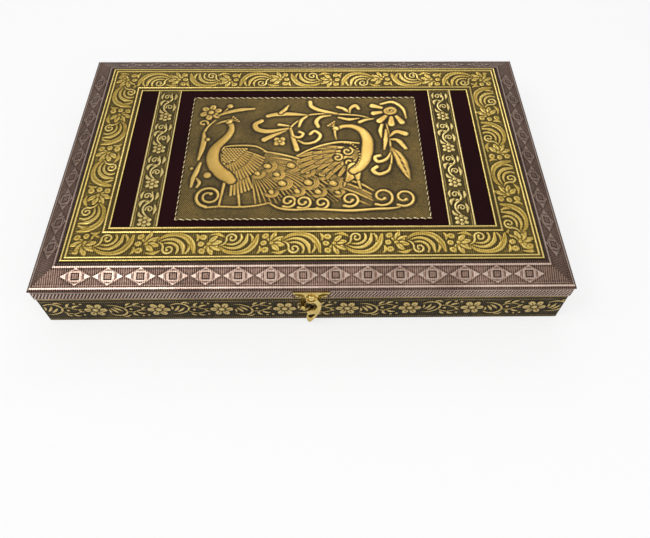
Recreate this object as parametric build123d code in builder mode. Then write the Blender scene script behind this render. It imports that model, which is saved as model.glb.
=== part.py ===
"""Dry fruit box: a flat wooden chest clad in embossed metal sheet, with a hinged lid.

The origin is the centre of the underside, +Z is up and the latch faces -Y.
Every profile of a side is drawn as (inset from the ridge of the lid, height).
"""

import os
from math import cos, radians, sin
from typing import NamedTuple

from build123d import *

# Plan of the box, over the ridge that runs round the lid
box_length = 380.0
box_depth = 250.0

# Base: a board with four walls on it, clad outside and lined inside
base_height = 29.5
base_board_thickness = 3.0
base_wall_thickness = 6.0
base_wall_inset = 2.0
sheet_thickness = 0.5
sheet_floor_gap = 0.3
lining_thickness = 0.6
lining_gap = 0.2
tray_lining_rim_gap = 1.0

# Dividers of the tray: one long board and two cross boards, halved together
divider_thickness = 4.0
divider_height = 21.0
divider_end_gap = 0.2
halving_clearance = 0.15

# Lid: rails that carry a bevelled moulding, with a flat board on its ledge
seam = 0.5
rail_height = 10.0
rail_thickness = 6.5
rail_inset = 1.5
nose_inset = 0.5
nose_height = 1.2
ledge_thickness = 4.0
ledge_reach = 30.0
bevel_width = 19.0
bevel_start = 1.2
bevel_lift = 0.4
board_thickness = 4.0
board_gap = 0.2

# Flowers stamped in the sheets of the base
flower_pitch = 45.5
first_flower_x = -14.1
corner_clear = 4.0
flower_reach = 0.27
flower_relief = 0.3

# Lozenges stamped in the copper sheet of the bevel
lozenge_pitch = 22.5
lozenge_height = 12.5
lozenge_relief = 0.25
lozenge_corner_margin = 8.0
square_size = 4.2
square_relief = 0.2
bevel_band_width = 2.2
bevel_band_relief = 0.2

# Gold sheet on the top of the lid
groove = 1.2
border_width = 30.0
border_thickness = 1.2
border_edge_line = 1.4
border_flat_band = 2.4
border_line_relief = 0.5
velvet_thickness = 0.6
velvet_gap = 0.2
strip_width = 20.0
strip_outer_margin = 13.8
strip_thickness = 0.7
strip_line = 1.2
strip_line_relief = 0.3
plaque_side_margin = 11.5
plaque_front_margin = 5.9
plaque_back_margin = 8.9
plaque_thickness = 0.7
rope_diameter = 1.4
rope_gap = 0.05
picture_margin = 6.5
figure_relief = 0.4

# Two butt hinges on the back faces
hinge_end_margin = 80.0
hinge_width = 30.0
hinge_leaf_thickness = 0.8
hinge_leaf_height = 6.6
hinge_pivot_out = 2.4
knuckle_radius = 2.0
knuckle_gap = 0.2
knuckle_clear = 0.3
hinge_pin_radius = 1.0
hinge_pin_clearance = 0.05
hinge_pin_head_radius = 1.5
hinge_pin_head_length = 0.6
hinge_nail_spacing = 20.0

# Small round-headed nails
nail_head_radius = 1.3
nail_head_height = 0.7
nail_shank_radius = 0.6
nail_shank_length = 5.0
nail_hole_clearance = 0.05
nail_sides = 8
drill_overrun = 1.0

# Latch: a plate on the lid, a hook that swings on it, and a peg on the base
latch_x = 5.5
latch_rise = 2.4
latch_plate_thickness = 0.9
latch_wing_span = 26.0
latch_wing_radius = 3.6
latch_bar_height = 2.4
latch_bar_rise = 5.6
latch_disc_radius = 4.6
latch_boss_radius = 3.0
latch_boss_height = 0.6
latch_nail_spacing = 19.6
hook_gap = 0.1
hook_thickness = 2.0
hook_eye_radius = 3.9
hook_recess_radius = 2.9
hook_recess_depth = 0.8
rivet_radius = 1.4
rivet_clearance = 0.05
rivet_tail_radius = 0.8
rivet_head_radius = 2.2
rivet_head_height = 0.9
peg_from_hook_pivot = 6.1
peg_drop = 9.6
peg_flange_radius = 1.8
peg_flange_height = 0.6
peg_stem_radius = 1.2
peg_stem_length = 3.9
peg_head_radius = 1.6
peg_head_height = 1.1
peg_shank_radius = 0.8

# Heights that follow from the sizes above
tray_floor = base_board_thickness
lid_bottom = base_height + seam
bevel_bottom = lid_bottom + rail_height
board_bottom = bevel_bottom + ledge_thickness
deck = board_bottom + board_thickness
velvet_top = deck + velvet_thickness
latch_height = lid_bottom + latch_rise
nail_hole_radius = nail_shank_radius + nail_hole_clearance

# Insets of the main faces, measured inwards from the ridge of the lid
base_face = base_wall_inset - sheet_thickness
tray_wall = base_wall_inset + base_wall_thickness
lip_face = rail_inset - sheet_thickness
lid_wall = rail_inset + rail_thickness
border_outer = bevel_width + groove
border_inner = border_outer + border_width
board_edge = bevel_width + board_gap

# Layout of the velvet panel: strips inside its ends, the plaque and its rope between them
rope_band = rope_gap + rope_diameter
strip_x = box_length / 2 - border_inner - strip_outer_margin - strip_width / 2
plaque_length = 2 * (strip_x - strip_width / 2 - plaque_side_margin - rope_band)
plaque_front = -(box_depth / 2 - border_inner - plaque_front_margin - rope_band)
plaque_back = box_depth / 2 - border_inner - plaque_back_margin - rope_band
plaque_depth = plaque_back - plaque_front
plaque_shift = (plaque_back + plaque_front) / 2

up = Vector(0, 0, 1)


class BoxSide(NamedTuple):
    """One side of the box: where it faces, how far out it is and how far it runs."""

    name: str
    outward: Vector
    reach: float
    run: float


sides = [
    BoxSide("front", Vector(0, -1, 0), box_depth / 2, box_length / 2),
    BoxSide("back", Vector(0, 1, 0), box_depth / 2, box_length / 2),
    BoxSide("left", Vector(-1, 0, 0), box_length / 2, box_depth / 2),
    BoxSide("right", Vector(1, 0, 0), box_length / 2, box_depth / 2),
]


def keep(piece, name):
    """Label the finished piece and write it under its name."""
    piece.part.label = name
    export_step(piece.part, f"parts/{name}.step")


def section_plane(side):
    """The upright plane across a side, with x pointing outwards and y up."""
    return Plane(origin=(0, 0, 0), x_dir=side.outward, z_dir=side.outward.cross(up))


def add_section(side, points):
    """Extrude a closed section of (inset, height) points along the whole side."""
    with BuildSketch(section_plane(side)) as section:
        with BuildLine():
            Polyline([(side.reach - inset, height) for inset, height in points], close=True)
        make_face()
    extrude(section.sketch, amount=side.run, both=True)


def mitre(side):
    """Cut both ends of the side's piece at 45 degrees, through the corners of the ridge."""
    along = side.outward.cross(up)
    for run in (along, along * -1):
        corner = side.outward * side.reach + run * side.run
        split(bisect_by=Plane(origin=corner, z_dir=side.outward - run), keep=Keep.TOP)


def rectangle(first, second, low, high):
    """Corner points of a rectangular section between two insets and two heights."""
    return [(first, low), (first, high), (second, high), (second, low)]


def star(outer, inner, petals):
    """Corner points of a flower with pointed petals."""
    points = []
    for index in range(2 * petals):
        radius = inner if index % 2 else outer
        angle = radians(index * 180 / petals)
        points.append((radius * cos(angle), radius * sin(angle)))
    return points


def drill(places, radius, start, end):
    """Bore a round hole along Y through each (x, z) place."""
    for x, z in places:
        with BuildSketch(Plane(origin=(x, start, z), x_dir=(1, 0, 0), z_dir=(0, 1, 0))) as hole:
            Circle(radius)
        extrude(hole.sketch, amount=end - start, mode=Mode.SUBTRACT)


def pierce(places, start, end):
    """Make the eight-sided hole of a nail along Y through each (x, z) place."""
    for x, z in places:
        with BuildSketch(Plane(origin=(x, start, z), x_dir=(1, 0, 0), z_dir=(0, 1, 0))) as hole:
            RegularPolygon(nail_hole_radius, nail_sides)
        extrude(hole.sketch, amount=end - start, mode=Mode.SUBTRACT)


def turned_fitting(profile, toward):
    """Turn a profile of (radius, distance out of the face) about Y; toward is -1 at the front."""
    with BuildPart() as fitting:
        with BuildSketch(Plane.XY):
            with BuildLine():
                Polyline([(radius, toward * out) for radius, out in profile], close=True)
            make_face()
        revolve(axis=Axis.Y)
    return fitting.part


def nail(toward):
    """A cut nail with eight sides and a low head, for a face that looks along toward * Y."""
    face = Plane(origin=(0, 0, 0), x_dir=(1, 0, 0), z_dir=(0, toward, 0))
    with BuildPart() as piece:
        with BuildSketch(face):
            RegularPolygon(nail_shank_radius, nail_sides)
        extrude(amount=-nail_shank_length)
        with BuildSketch(face):
            RegularPolygon(nail_head_radius, nail_sides)
        with BuildSketch(face.offset(nail_head_height)):
            RegularPolygon(nail_head_radius * 0.45, nail_sides)
        loft()
    return piece.part


# Places of the fittings

front_base_y = -(box_depth / 2 - base_face)
front_lip_y = -(box_depth / 2 - lip_face)
back_base_y = box_depth / 2 - base_face
back_lip_y = box_depth / 2 - lip_face
hinge_y = back_lip_y + hinge_pivot_out
hinge_z = base_height + seam / 2
leaf_edge = knuckle_radius + knuckle_clear
hinge_x = box_length / 2 - hinge_end_margin
hinge_centres = {"left": -hinge_x, "right": hinge_x}
base_nail_z = hinge_z - leaf_edge - hinge_leaf_height / 2
lid_nail_z = hinge_z + leaf_edge + hinge_leaf_height / 2
nail_offsets = (-hinge_nail_spacing / 2, hinge_nail_spacing / 2)
hinge_nail_x = [centre + offset for centre in hinge_centres.values() for offset in nail_offsets]
base_hinge_holes = [(x, base_nail_z) for x in hinge_nail_x]
lid_hinge_holes = [(x, lid_nail_z) for x in hinge_nail_x]
peg_x = latch_x - peg_from_hook_pivot
peg_z = latch_height - peg_drop
latch_nail_z = latch_height + latch_bar_rise / 2 - 1.2
latch_holes = [
    (latch_x - latch_nail_spacing / 2, latch_nail_z),
    (latch_x + latch_nail_spacing / 2, latch_nail_z),
]
peg_hole_radius = peg_shank_radius + nail_hole_clearance
tail_hole_radius = rivet_tail_radius + nail_hole_clearance

# Faces on the inner side of the walls and rails
back_inner_y = box_depth / 2 - tray_wall
front_inner_y = -back_inner_y
back_rail_y = box_depth / 2 - lid_wall - drill_overrun
front_rail_y = -back_rail_y


# Base


def make_base_board():
    """The bottom board, which the walls stand on."""
    with BuildPart() as base_board:
        Box(
            box_length - 2 * base_wall_inset,
            box_depth - 2 * base_wall_inset,
            base_board_thickness,
            align=(Align.CENTER, Align.CENTER, Align.MIN),
        )
    keep(base_board, "base_board")


def make_base_wall(side):
    """One wall of the base: the front and back walls run past the ends of the side walls."""
    full = side.outward.X == 0
    end_inset = base_wall_inset if full else tray_wall
    with BuildPart() as base_wall:
        with BuildSketch(section_plane(side)):
            with BuildLine():
                corners = rectangle(base_wall_inset, tray_wall, base_board_thickness, base_height)
                Polyline([(side.reach - inset, height) for inset, height in corners], close=True)
            make_face()
        extrude(amount=side.run - end_inset, both=True)
        if side.name == "front":
            drill([(peg_x, peg_z)], peg_hole_radius, front_base_y, front_inner_y)
        if side.name == "back":
            pierce(base_hinge_holes, back_inner_y - drill_overrun, back_base_y)
    keep(base_wall, f"base_{side.name}_wall")


def flower_places(side):
    """Places along a side of the base where a flower is stamped, clear of the hinges."""
    offset = first_flower_x if side.name in ("front", "back") else 0
    reach = flower_reach * base_height
    edge = side.run - base_face - reach - corner_clear
    count = int(edge / flower_pitch) + 1
    spots = [offset + index * flower_pitch for index in range(-count, count + 1)]
    if side.name == "back":
        taken = hinge_width / 2 + reach
        spots = [x for x in spots if min(abs(x - centre) for centre in hinge_centres.values()) > taken]
    return [x for x in spots if abs(x) < edge]


def add_flowers(side):
    """Raise a row of six-petalled flowers at mid height on a sheet of the base."""
    face = side.outward * (side.reach - base_face) + up * (base_height / 2)
    plane = Plane(origin=face, x_dir=up.cross(side.outward), z_dir=side.outward)
    radius = flower_reach * base_height
    with BuildSketch(plane.offset(-sheet_thickness / 2)) as flowers:
        with Locations([(x, 0) for x in flower_places(side)]):
            Polygon(*star(radius, radius * 0.62, 6), align=None)
    extrude(flowers.sketch, amount=sheet_thickness / 2 + flower_relief)


def make_base_sheet(side):
    """The embossed gold sheet over one side of the base, mitred at the corners."""
    with BuildPart() as base_sheet:
        add_section(side, rectangle(base_face, base_wall_inset, sheet_floor_gap, base_height))
        mitre(side)
        add_flowers(side)
        if side.name == "front":
            drill([(peg_x, peg_z)], peg_hole_radius, front_base_y - drill_overrun, front_inner_y)
        if side.name == "back":
            pierce(base_hinge_holes, back_inner_y, back_base_y + drill_overrun)
    keep(base_sheet, f"base_{side.name}_sheet")


def make_tray_floor_lining():
    """Velvet on the bottom board, inside the walls."""
    with BuildPart() as tray_floor_lining:
        with BuildSketch(Plane.XY.offset(tray_floor)):
            Rectangle(
                box_length - 2 * (tray_wall + lining_gap),
                box_depth - 2 * (tray_wall + lining_gap),
            )
        extrude(amount=lining_thickness)
    keep(tray_floor_lining, "tray_floor_lining")


def make_wall_lining(name, wall_inset, low, high):
    """A band of velvet round the inside of four walls."""
    with BuildPart() as wall_lining:
        with BuildSketch(Plane.XY.offset(low)):
            Rectangle(box_length - 2 * wall_inset, box_depth - 2 * wall_inset)
            Rectangle(
                box_length - 2 * (wall_inset + lining_thickness),
                box_depth - 2 * (wall_inset + lining_thickness),
                mode=Mode.SUBTRACT,
            )
        extrude(amount=high - low)
    keep(wall_lining, name)


divider_bottom = tray_floor + lining_thickness
divider_inset = tray_wall + lining_thickness + divider_end_gap
halving_width = divider_thickness + 2 * halving_clearance
cross_divider_third = (box_length / 2 - tray_wall) / 3
cross_divider_x = {"left": -cross_divider_third, "right": cross_divider_third}


def make_long_divider():
    """The long board of the tray, notched from above where the cross boards sit in it."""
    with BuildPart() as long_divider:
        with BuildSketch(Plane.XZ):
            with Locations((0, divider_bottom + divider_height / 2)):
                Rectangle(box_length - 2 * divider_inset, divider_height)
            with Locations([(x, divider_bottom + divider_height) for x in cross_divider_x.values()]):
                Rectangle(
                    halving_width,
                    divider_height / 2,
                    align=(Align.CENTER, Align.MAX),
                    mode=Mode.SUBTRACT,
                )
        extrude(amount=divider_thickness / 2, both=True)
    keep(long_divider, "long_divider")


def make_cross_divider(name, x):
    """A cross board of the tray, notched from below so that it drops over the long board."""
    with BuildPart() as cross_divider:
        with BuildSketch(Plane.YZ.offset(x)):
            with Locations((0, divider_bottom + divider_height / 2)):
                Rectangle(box_depth - 2 * divider_inset, divider_height)
            with Locations((0, divider_bottom)):
                Rectangle(
                    halving_width,
                    divider_height / 2,
                    align=(Align.CENTER, Align.MIN),
                    mode=Mode.SUBTRACT,
                )
        extrude(amount=divider_thickness / 2, both=True)
    keep(cross_divider, f"{name}_cross_divider")


def make_keeper_peg():
    """The peg that the hook catches: a flanged stem with a wider flat head."""
    stem_end = peg_flange_height + peg_stem_length
    profile = [
        (0, -nail_shank_length),
        (peg_shank_radius, -nail_shank_length),
        (peg_shank_radius, 0),
        (peg_flange_radius, 0),
        (peg_flange_radius, peg_flange_height),
        (peg_stem_radius, peg_flange_height),
        (peg_stem_radius, stem_end),
        (peg_head_radius, stem_end),
        (peg_head_radius, stem_end + peg_head_height * 0.5),
        (peg_head_radius * 0.6, stem_end + peg_head_height),
        (0, stem_end + peg_head_height),
    ]
    peg = turned_fitting(profile, -1)
    with BuildPart() as keeper_peg:
        with Locations((peg_x, front_base_y, peg_z)):
            add(peg)
    keep(keeper_peg, "keeper_peg")


# Lid


def bevel_points():
    """Wood section of the moulding: nose, bevel, rebate for the board and ledge."""
    return [
        (rail_inset, bevel_bottom),
        (nose_inset, bevel_bottom + bevel_lift),
        (nose_inset, bevel_bottom + nose_height),
        (bevel_start, bevel_bottom + nose_height + bevel_lift),
        (bevel_width, deck),
        (bevel_width, board_bottom),
        (ledge_reach, board_bottom),
        (ledge_reach, bevel_bottom),
    ]


def make_lid_rail(side):
    """One upright rail of the lid, under the moulding."""
    with BuildPart() as lid_rail:
        add_section(side, rectangle(rail_inset, lid_wall, lid_bottom, bevel_bottom))
        mitre(side)
        if side.name == "front":
            pierce(latch_holes, front_lip_y, front_rail_y)
            drill([(latch_x, latch_height)], tail_hole_radius, front_lip_y, front_rail_y)
        if side.name == "back":
            pierce(lid_hinge_holes, back_rail_y, back_lip_y)
    keep(lid_rail, f"lid_{side.name}_rail")


def make_lid_bevel(side):
    """One length of the bevelled moulding, mitred at the corners."""
    with BuildPart() as lid_bevel:
        add_section(side, bevel_points())
        mitre(side)
    keep(lid_bevel, f"lid_{side.name}_bevel")


def slope_plane(side):
    """A plane on the outer face of the sheet at the middle of the bevel, x along the side."""
    low = Vector(bevel_start, bevel_bottom + nose_height + bevel_lift)
    high = Vector(bevel_width, deck)
    climb = (high - low).normalized()
    normal = Vector(-climb.Y, climb.X)
    middle = (low + high) * 0.5 + normal * sheet_thickness
    origin = side.outward * (side.reach - middle.X) + up * middle.Y
    face_normal = side.outward * -normal.X + up * normal.Y
    return Plane(origin=origin, x_dir=up.cross(side.outward), z_dir=face_normal)


def slope_length():
    """Width of the bevel, measured up its slope."""
    rise = deck - (bevel_bottom + nose_height + bevel_lift)
    return Vector(bevel_width - bevel_start, rise).length


def add_lozenges(side):
    """Raise the row of lozenges, each with a square in its middle, on the bevel."""
    middle_run = side.run - bevel_width / 2
    count = int((2 * middle_run - lozenge_corner_margin) / lozenge_pitch)
    first = -(count - 1) * lozenge_pitch / 2
    places = [(first + index * lozenge_pitch, 0) for index in range(count)]
    half = lozenge_pitch / 2 - 0.3
    tall = lozenge_height / 2
    plane = slope_plane(side)
    with BuildSketch(plane.offset(-sheet_thickness / 2)) as lozenges:
        with Locations(places):
            Polygon((-half, 0), (0, -tall), (half, 0), (0, tall))
    extrude(lozenges.sketch, amount=sheet_thickness / 2 + lozenge_relief)
    with BuildSketch(plane) as squares:
        with Locations(places):
            Rectangle(square_size, square_size)
    extrude(squares.sketch, amount=lozenge_relief + square_relief)


def add_bevel_bands(side):
    """Raise the plain bands along the top and the bottom of the bevel."""
    offset_up = slope_length() / 2 - bevel_band_width / 2
    with BuildSketch(slope_plane(side).offset(-sheet_thickness / 2)) as bands:
        with Locations((0, offset_up), (0, -offset_up)):
            Rectangle(2 * side.run, bevel_band_width)
    extrude(bands.sketch, amount=sheet_thickness / 2 + bevel_band_relief)


def make_copper_sheet(side):
    """Copper sheet bent over the lip, the ridge and the bevel of one side of the lid."""
    wood = [(rail_inset, lid_bottom)] + bevel_points()[:5]
    with BuildPart() as copper_sheet:
        with BuildSketch(section_plane(side)):
            with BuildLine():
                Polyline([(side.reach - inset, height) for inset, height in wood])
                offset(amount=sheet_thickness, side=Side.RIGHT)
            make_face()
        extrude(amount=side.run, both=True)
        add_lozenges(side)
        add_bevel_bands(side)
        mitre(side)
        if side.name == "front":
            front = front_lip_y - drill_overrun
            pierce(latch_holes, front, front_rail_y)
            drill([(latch_x, latch_height)], tail_hole_radius, front, front_rail_y)
        if side.name == "back":
            pierce(lid_hinge_holes, back_rail_y, back_lip_y + drill_overrun)
    keep(copper_sheet, f"copper_{side.name}_sheet")


def make_lid_board():
    """The flat board of the lid, lying on the ledge of the moulding."""
    with BuildPart() as lid_board:
        with BuildSketch(Plane.XY.offset(board_bottom)):
            Rectangle(box_length - 2 * board_edge, box_depth - 2 * board_edge)
        extrude(amount=board_thickness)
    keep(lid_board, "lid_board")


def make_lid_lining():
    """Velvet on the underside of the board, inside the ledge."""
    with BuildPart() as lid_lining:
        with BuildSketch(Plane.XY.offset(board_bottom - lining_thickness)):
            Rectangle(
                box_length - 2 * (ledge_reach + lining_gap),
                box_depth - 2 * (ledge_reach + lining_gap),
            )
        extrude(amount=lining_thickness)
    keep(lid_lining, "lid_lining")


def make_border(side):
    """One gold border strip with two raised lines outside and two inside."""
    ground = deck + border_thickness
    line_top = ground + border_line_relief
    outer_line = border_outer + border_edge_line
    second_line = outer_line + border_edge_line
    third_line = second_line + border_edge_line
    inner_line = border_inner - border_edge_line
    band_line = inner_line - border_flat_band - border_edge_line
    points = [
        (border_outer, deck),
        (border_outer, ground),
        (border_outer + border_edge_line / 2, line_top),
        (outer_line, ground),
        (second_line, ground),
        (second_line + border_edge_line / 2, line_top),
        (third_line, ground),
        (band_line, ground),
        (band_line + border_edge_line / 2, line_top),
        (band_line + border_edge_line, ground),
        (inner_line, ground),
        (inner_line + border_edge_line / 2, line_top),
        (border_inner, ground),
        (border_inner, deck),
    ]
    with BuildPart() as border:
        add_section(side, points)
        mitre(side)
    keep(border, f"border_{side.name}")


def make_velvet_inlay():
    """The maroon velvet panel inside the gold border."""
    with BuildPart() as velvet_inlay:
        with BuildSketch(Plane.XY.offset(deck)):
            Rectangle(
                box_length - 2 * (border_inner + velvet_gap),
                box_depth - 2 * (border_inner + velvet_gap),
            )
        extrude(amount=velvet_thickness)
    keep(velvet_inlay, "velvet_inlay")


def make_gold_strip(name, x):
    """A gold strip across the velvet, with a raised line along each edge."""
    half = strip_width / 2
    ground = velvet_top + strip_thickness
    strip_run = box_depth / 2 - border_inner - velvet_gap
    with BuildPart() as gold_strip:
        with BuildSketch(Plane.XZ):
            with BuildLine():
                Polyline(
                    (x - half, velvet_top),
                    (x - half, ground),
                    (x - half + strip_line / 2, ground + strip_line_relief),
                    (x - half + strip_line, ground),
                    (x + half - strip_line, ground),
                    (x + half - strip_line / 2, ground + strip_line_relief),
                    (x + half, ground),
                    (x + half, velvet_top),
                    close=True,
                )
            make_face()
        extrude(amount=strip_run, both=True)
    keep(gold_strip, f"{name}_gold_strip")


# The picture's figures are drawn from the front left corner, then fitted inside the plaque
left_peacock = [
    (21, 100), (27, 105), (31, 107), (35, 104), (34, 97), (30, 88), (26, 80), (30, 74), (42, 77), (56, 76),
    (67, 68), (86, 62), (104, 52), (114, 42), (108, 32), (92, 21), (72, 16), (62, 26), (50, 31), (36, 36),
    (26, 46), (18, 58), (16, 72), (20, 84), (27, 94), (28, 100),
]
right_peacock = [
    (117, 87), (115, 92), (117, 98), (124, 101), (132, 100), (140, 94), (146, 84), (149, 70), (146, 56),
    (137, 45), (126, 44), (114, 47), (103, 56), (95, 64), (91, 74), (102, 79), (114, 83), (127, 83),
    (135, 82), (138, 86), (134, 91), (127, 93), (121, 92),
]
legs = [
    [(32, 46), (36, 44), (30, 13), (27, 13)],
    [(39, 41), (43, 41), (46, 13), (43, 13)],
    [(125, 50), (129, 50), (126, 30), (123, 30)],
    [(131, 50), (134, 50), (136, 27), (133, 27)],
]
flowers = [(16, 114, 9), (165, 111, 11), (153, 122, 5), (75, 80, 7)]
leaves = [
    (25, 112, 50, 123, 5), (12, 90, 10, 59, 6), (9, 39, 7, 27, 4), (58, 116, 78, 121, 5),
    (74, 112, 93, 121, 5), (82, 95, 86, 73, 5), (163, 70, 175, 38, 8),
    (163, 92, 150, 94, 4), (164, 86, 179, 90, 5), (163, 80, 150, 79, 4), (165, 74, 180, 78, 5),
    (123, 112, 137, 105, 4), (76, 8, 75, 21, 3), (115, 9, 114, 24, 3), (151, 9, 152, 28, 4),
]


def fitted(figures):
    """Stretch the figures to fill the plaque, about its middle, with the margin clear all round."""
    across = [x for figure in figures for x, y in figure]
    upward = [y for figure in figures for x, y in figure]
    wide = (plaque_length - 2 * picture_margin) / (max(across) - min(across))
    deep = (plaque_depth - 2 * picture_margin) / (max(upward) - min(upward))
    middle_x = (max(across) + min(across)) / 2
    middle_y = (max(upward) + min(upward)) / 2
    return [[((x - middle_x) * wide, (y - middle_y) * deep) for x, y in figure] for figure in figures]


def leaf(x, y, tip_x, tip_y, width):
    """Corner points of a leaf, pointed at both ends."""
    stalk = Vector(x, y)
    tip = Vector(tip_x, tip_y)
    along = tip - stalk
    across = Vector(-along.Y, along.X).normalized() * (width / 2)
    near = stalk + along * 0.35
    far = stalk + along * 0.7
    corners = [stalk, near + across, far + across, tip, far - across, near - across]
    return [(corner.X, corner.Y) for corner in corners]


def make_plaque():
    """The picture panel in the middle of the lid: two peacocks among flowers, in low relief."""
    figures = [left_peacock, right_peacock] + legs
    figures += [[(x + dx, y + dy) for dx, dy in star(r, r * 0.62, 6)] for x, y, r in flowers]
    figures += [leaf(*size) for size in leaves]
    with BuildPart() as plaque:
        with BuildSketch(Plane.XY.offset(velvet_top)):
            with Locations((0, plaque_shift)):
                Rectangle(plaque_length, plaque_depth)
        extrude(amount=plaque_thickness)
        with BuildSketch(Plane.XY.offset(velvet_top + plaque_thickness / 2)):
            with Locations((0, plaque_shift)):
                for figure in fitted(figures):
                    Polygon(*figure, align=None)
        extrude(amount=plaque_thickness / 2 + figure_relief)
    keep(plaque, "peacock_plaque")


def make_plaque_rope():
    """The rope edging round the picture panel, laid on the velvet, its edges eased all round."""
    inner_length = plaque_length + 2 * rope_gap
    inner_depth = plaque_depth + 2 * rope_gap
    with BuildPart() as plaque_rope:
        with BuildSketch(Plane.XY.offset(velvet_top)):
            with Locations((0, plaque_shift)):
                Rectangle(inner_length + 2 * rope_diameter, inner_depth + 2 * rope_diameter)
                Rectangle(inner_length, inner_depth, mode=Mode.SUBTRACT)
        extrude(amount=rope_diameter)
        levels = plaque_rope.edges().group_by(Axis.Z)
        chamfer(levels[0] + levels[-1], length=rope_diameter * 0.29)
    keep(plaque_rope, "plaque_rope")


# Hinges


def knuckle_spans(name):
    """Spans along X of the knuckles: the base leaf has the outer two, the lid leaf the middle."""
    centre = hinge_centres[name]
    third = hinge_width / 3
    outer = [
        (centre - hinge_width / 2, centre - third / 2 - knuckle_gap),
        (centre + third / 2 + knuckle_gap, centre + hinge_width / 2),
    ]
    middle = [(centre - third / 2 + knuckle_gap, centre + third / 2 - knuckle_gap)]
    return {"base": outer, "lid": middle}


def add_leaf(name, body, face_y, nail_z, toward):
    """A flat leaf on a back face and the knuckles that its rolled edge makes.

    toward is -1 for the leaf below the seam and 1 for the one above it.
    """
    centre = hinge_centres[name]
    near = hinge_z + toward * leaf_edge
    outer_y = face_y + hinge_leaf_thickness
    leaf_plane = Plane(origin=(centre, face_y, nail_z), x_dir=(1, 0, 0), z_dir=(0, 1, 0))
    with BuildSketch(leaf_plane) as leaf:
        Rectangle(hinge_width, hinge_leaf_height)
    extrude(leaf.sketch, amount=hinge_leaf_thickness)
    for start, end in knuckle_spans(name)[body]:
        with BuildSketch(Plane(origin=(start, 0, 0), x_dir=(0, 1, 0), z_dir=(1, 0, 0))) as knuckle:
            with BuildLine():
                Polyline(
                    (face_y, near + toward * 0.4),
                    (outer_y, near + toward * 0.4),
                    (hinge_y, hinge_z + toward * knuckle_radius),
                    (hinge_y, hinge_z),
                    (hinge_y - knuckle_radius * 0.9, hinge_z + toward * 0.3),
                    (face_y, near - toward * 1.2),
                    close=True,
                )
            make_face()
            with Locations((hinge_y, hinge_z)):
                Circle(knuckle_radius)
                Circle(hinge_pin_radius + hinge_pin_clearance, mode=Mode.SUBTRACT)
        extrude(knuckle.sketch, amount=end - start)


def make_hinge_leaves(name):
    """The two leaves of one hinge."""
    with BuildPart() as base_leaf:
        add_leaf(name, "base", back_base_y, base_nail_z, -1)
        pierce(base_hinge_holes, back_base_y, back_base_y + hinge_leaf_thickness + drill_overrun)
    keep(base_leaf, f"{name}_hinge_base_leaf")
    with BuildPart() as lid_leaf:
        add_leaf(name, "lid", back_lip_y, lid_nail_z, 1)
        pierce(lid_hinge_holes, back_lip_y, back_lip_y + hinge_leaf_thickness + drill_overrun)
    keep(lid_leaf, f"{name}_hinge_lid_leaf")


def make_hinge_pin(name):
    """The pin of one hinge, with a flat head outside each end knuckle."""
    centre = hinge_centres[name]
    half = hinge_width / 2 + knuckle_gap
    with BuildPart() as hinge_pin:
        with BuildSketch(Plane(origin=(centre, hinge_y, hinge_z), z_dir=(1, 0, 0))):
            Circle(hinge_pin_radius)
        extrude(amount=half, both=True)
        for end, outward in ((centre - half, -1), (centre + half, 1)):
            with BuildSketch(Plane(origin=(end, hinge_y, hinge_z), z_dir=(outward, 0, 0))):
                Circle(hinge_pin_head_radius)
            extrude(amount=hinge_pin_head_length)
    keep(hinge_pin, f"{name}_hinge_pin")


def make_nails(name, holes, face_y, toward):
    """A group of nails, one in each (x, z) hole of a face."""
    one_nail = nail(toward)
    with BuildPart() as nails:
        with Locations([(x, face_y, z) for x, z in holes]):
            add(one_nail)
    keep(nails, name)


# Latch


def front_plane(x, out, z):
    """An upright plane at the front, out of the lip by that much, seen from outside."""
    return Plane(origin=(x, front_lip_y - out, z), x_dir=(1, 0, 0), z_dir=(0, -1, 0))


def make_latch_plate():
    """The winged plate on the lip, with a round boss that the hook turns against."""
    wing_x = latch_wing_span / 2 - latch_wing_radius
    with BuildPart() as latch_plate:
        with BuildSketch(front_plane(latch_x, 0, latch_height)):
            with Locations((0, latch_bar_rise - latch_bar_height / 2)):
                Rectangle(latch_wing_span - 4, latch_bar_height)
            Circle(latch_disc_radius)
            with Locations((-wing_x, 0), (wing_x, 0)):
                Circle(latch_wing_radius)
            with Locations((-wing_x / 2, latch_bar_rise / 2 - 0.8), (wing_x / 2, latch_bar_rise / 2 - 0.8)):
                Rectangle(wing_x, latch_bar_rise - latch_bar_height + 1)
        extrude(amount=latch_plate_thickness)
        with BuildSketch(front_plane(latch_x, latch_plate_thickness, latch_height)):
            Circle(latch_boss_radius)
        extrude(amount=latch_boss_height)
        boss_top = front_lip_y - latch_plate_thickness - latch_boss_height - drill_overrun
        pierce(latch_holes, boss_top, front_lip_y)
        drill([(latch_x, latch_height)], tail_hole_radius, boss_top, front_lip_y)
    keep(latch_plate, "latch_plate")


hook_back = latch_plate_thickness + latch_boss_height + hook_gap


def make_hook_rivet():
    """The rivet that the hook turns on: tail in the rail, shank in the eye, low head."""
    boss_top = latch_plate_thickness + latch_boss_height
    head_base = hook_back + hook_thickness - hook_recess_depth + hook_gap
    profile = [
        (0, -nail_shank_length),
        (rivet_tail_radius, -nail_shank_length),
        (rivet_tail_radius, boss_top),
        (rivet_radius, boss_top),
        (rivet_radius, head_base),
        (rivet_head_radius, head_base),
        (rivet_head_radius, head_base + rivet_head_height * 0.6),
        (rivet_head_radius * 0.6, head_base + rivet_head_height),
        (0, head_base + rivet_head_height),
    ]
    rivet = turned_fitting(profile, -1)
    with BuildPart() as hook_rivet:
        with Locations((latch_x, front_lip_y, latch_height)):
            add(rivet)
    keep(hook_rivet, "hook_rivet")


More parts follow.
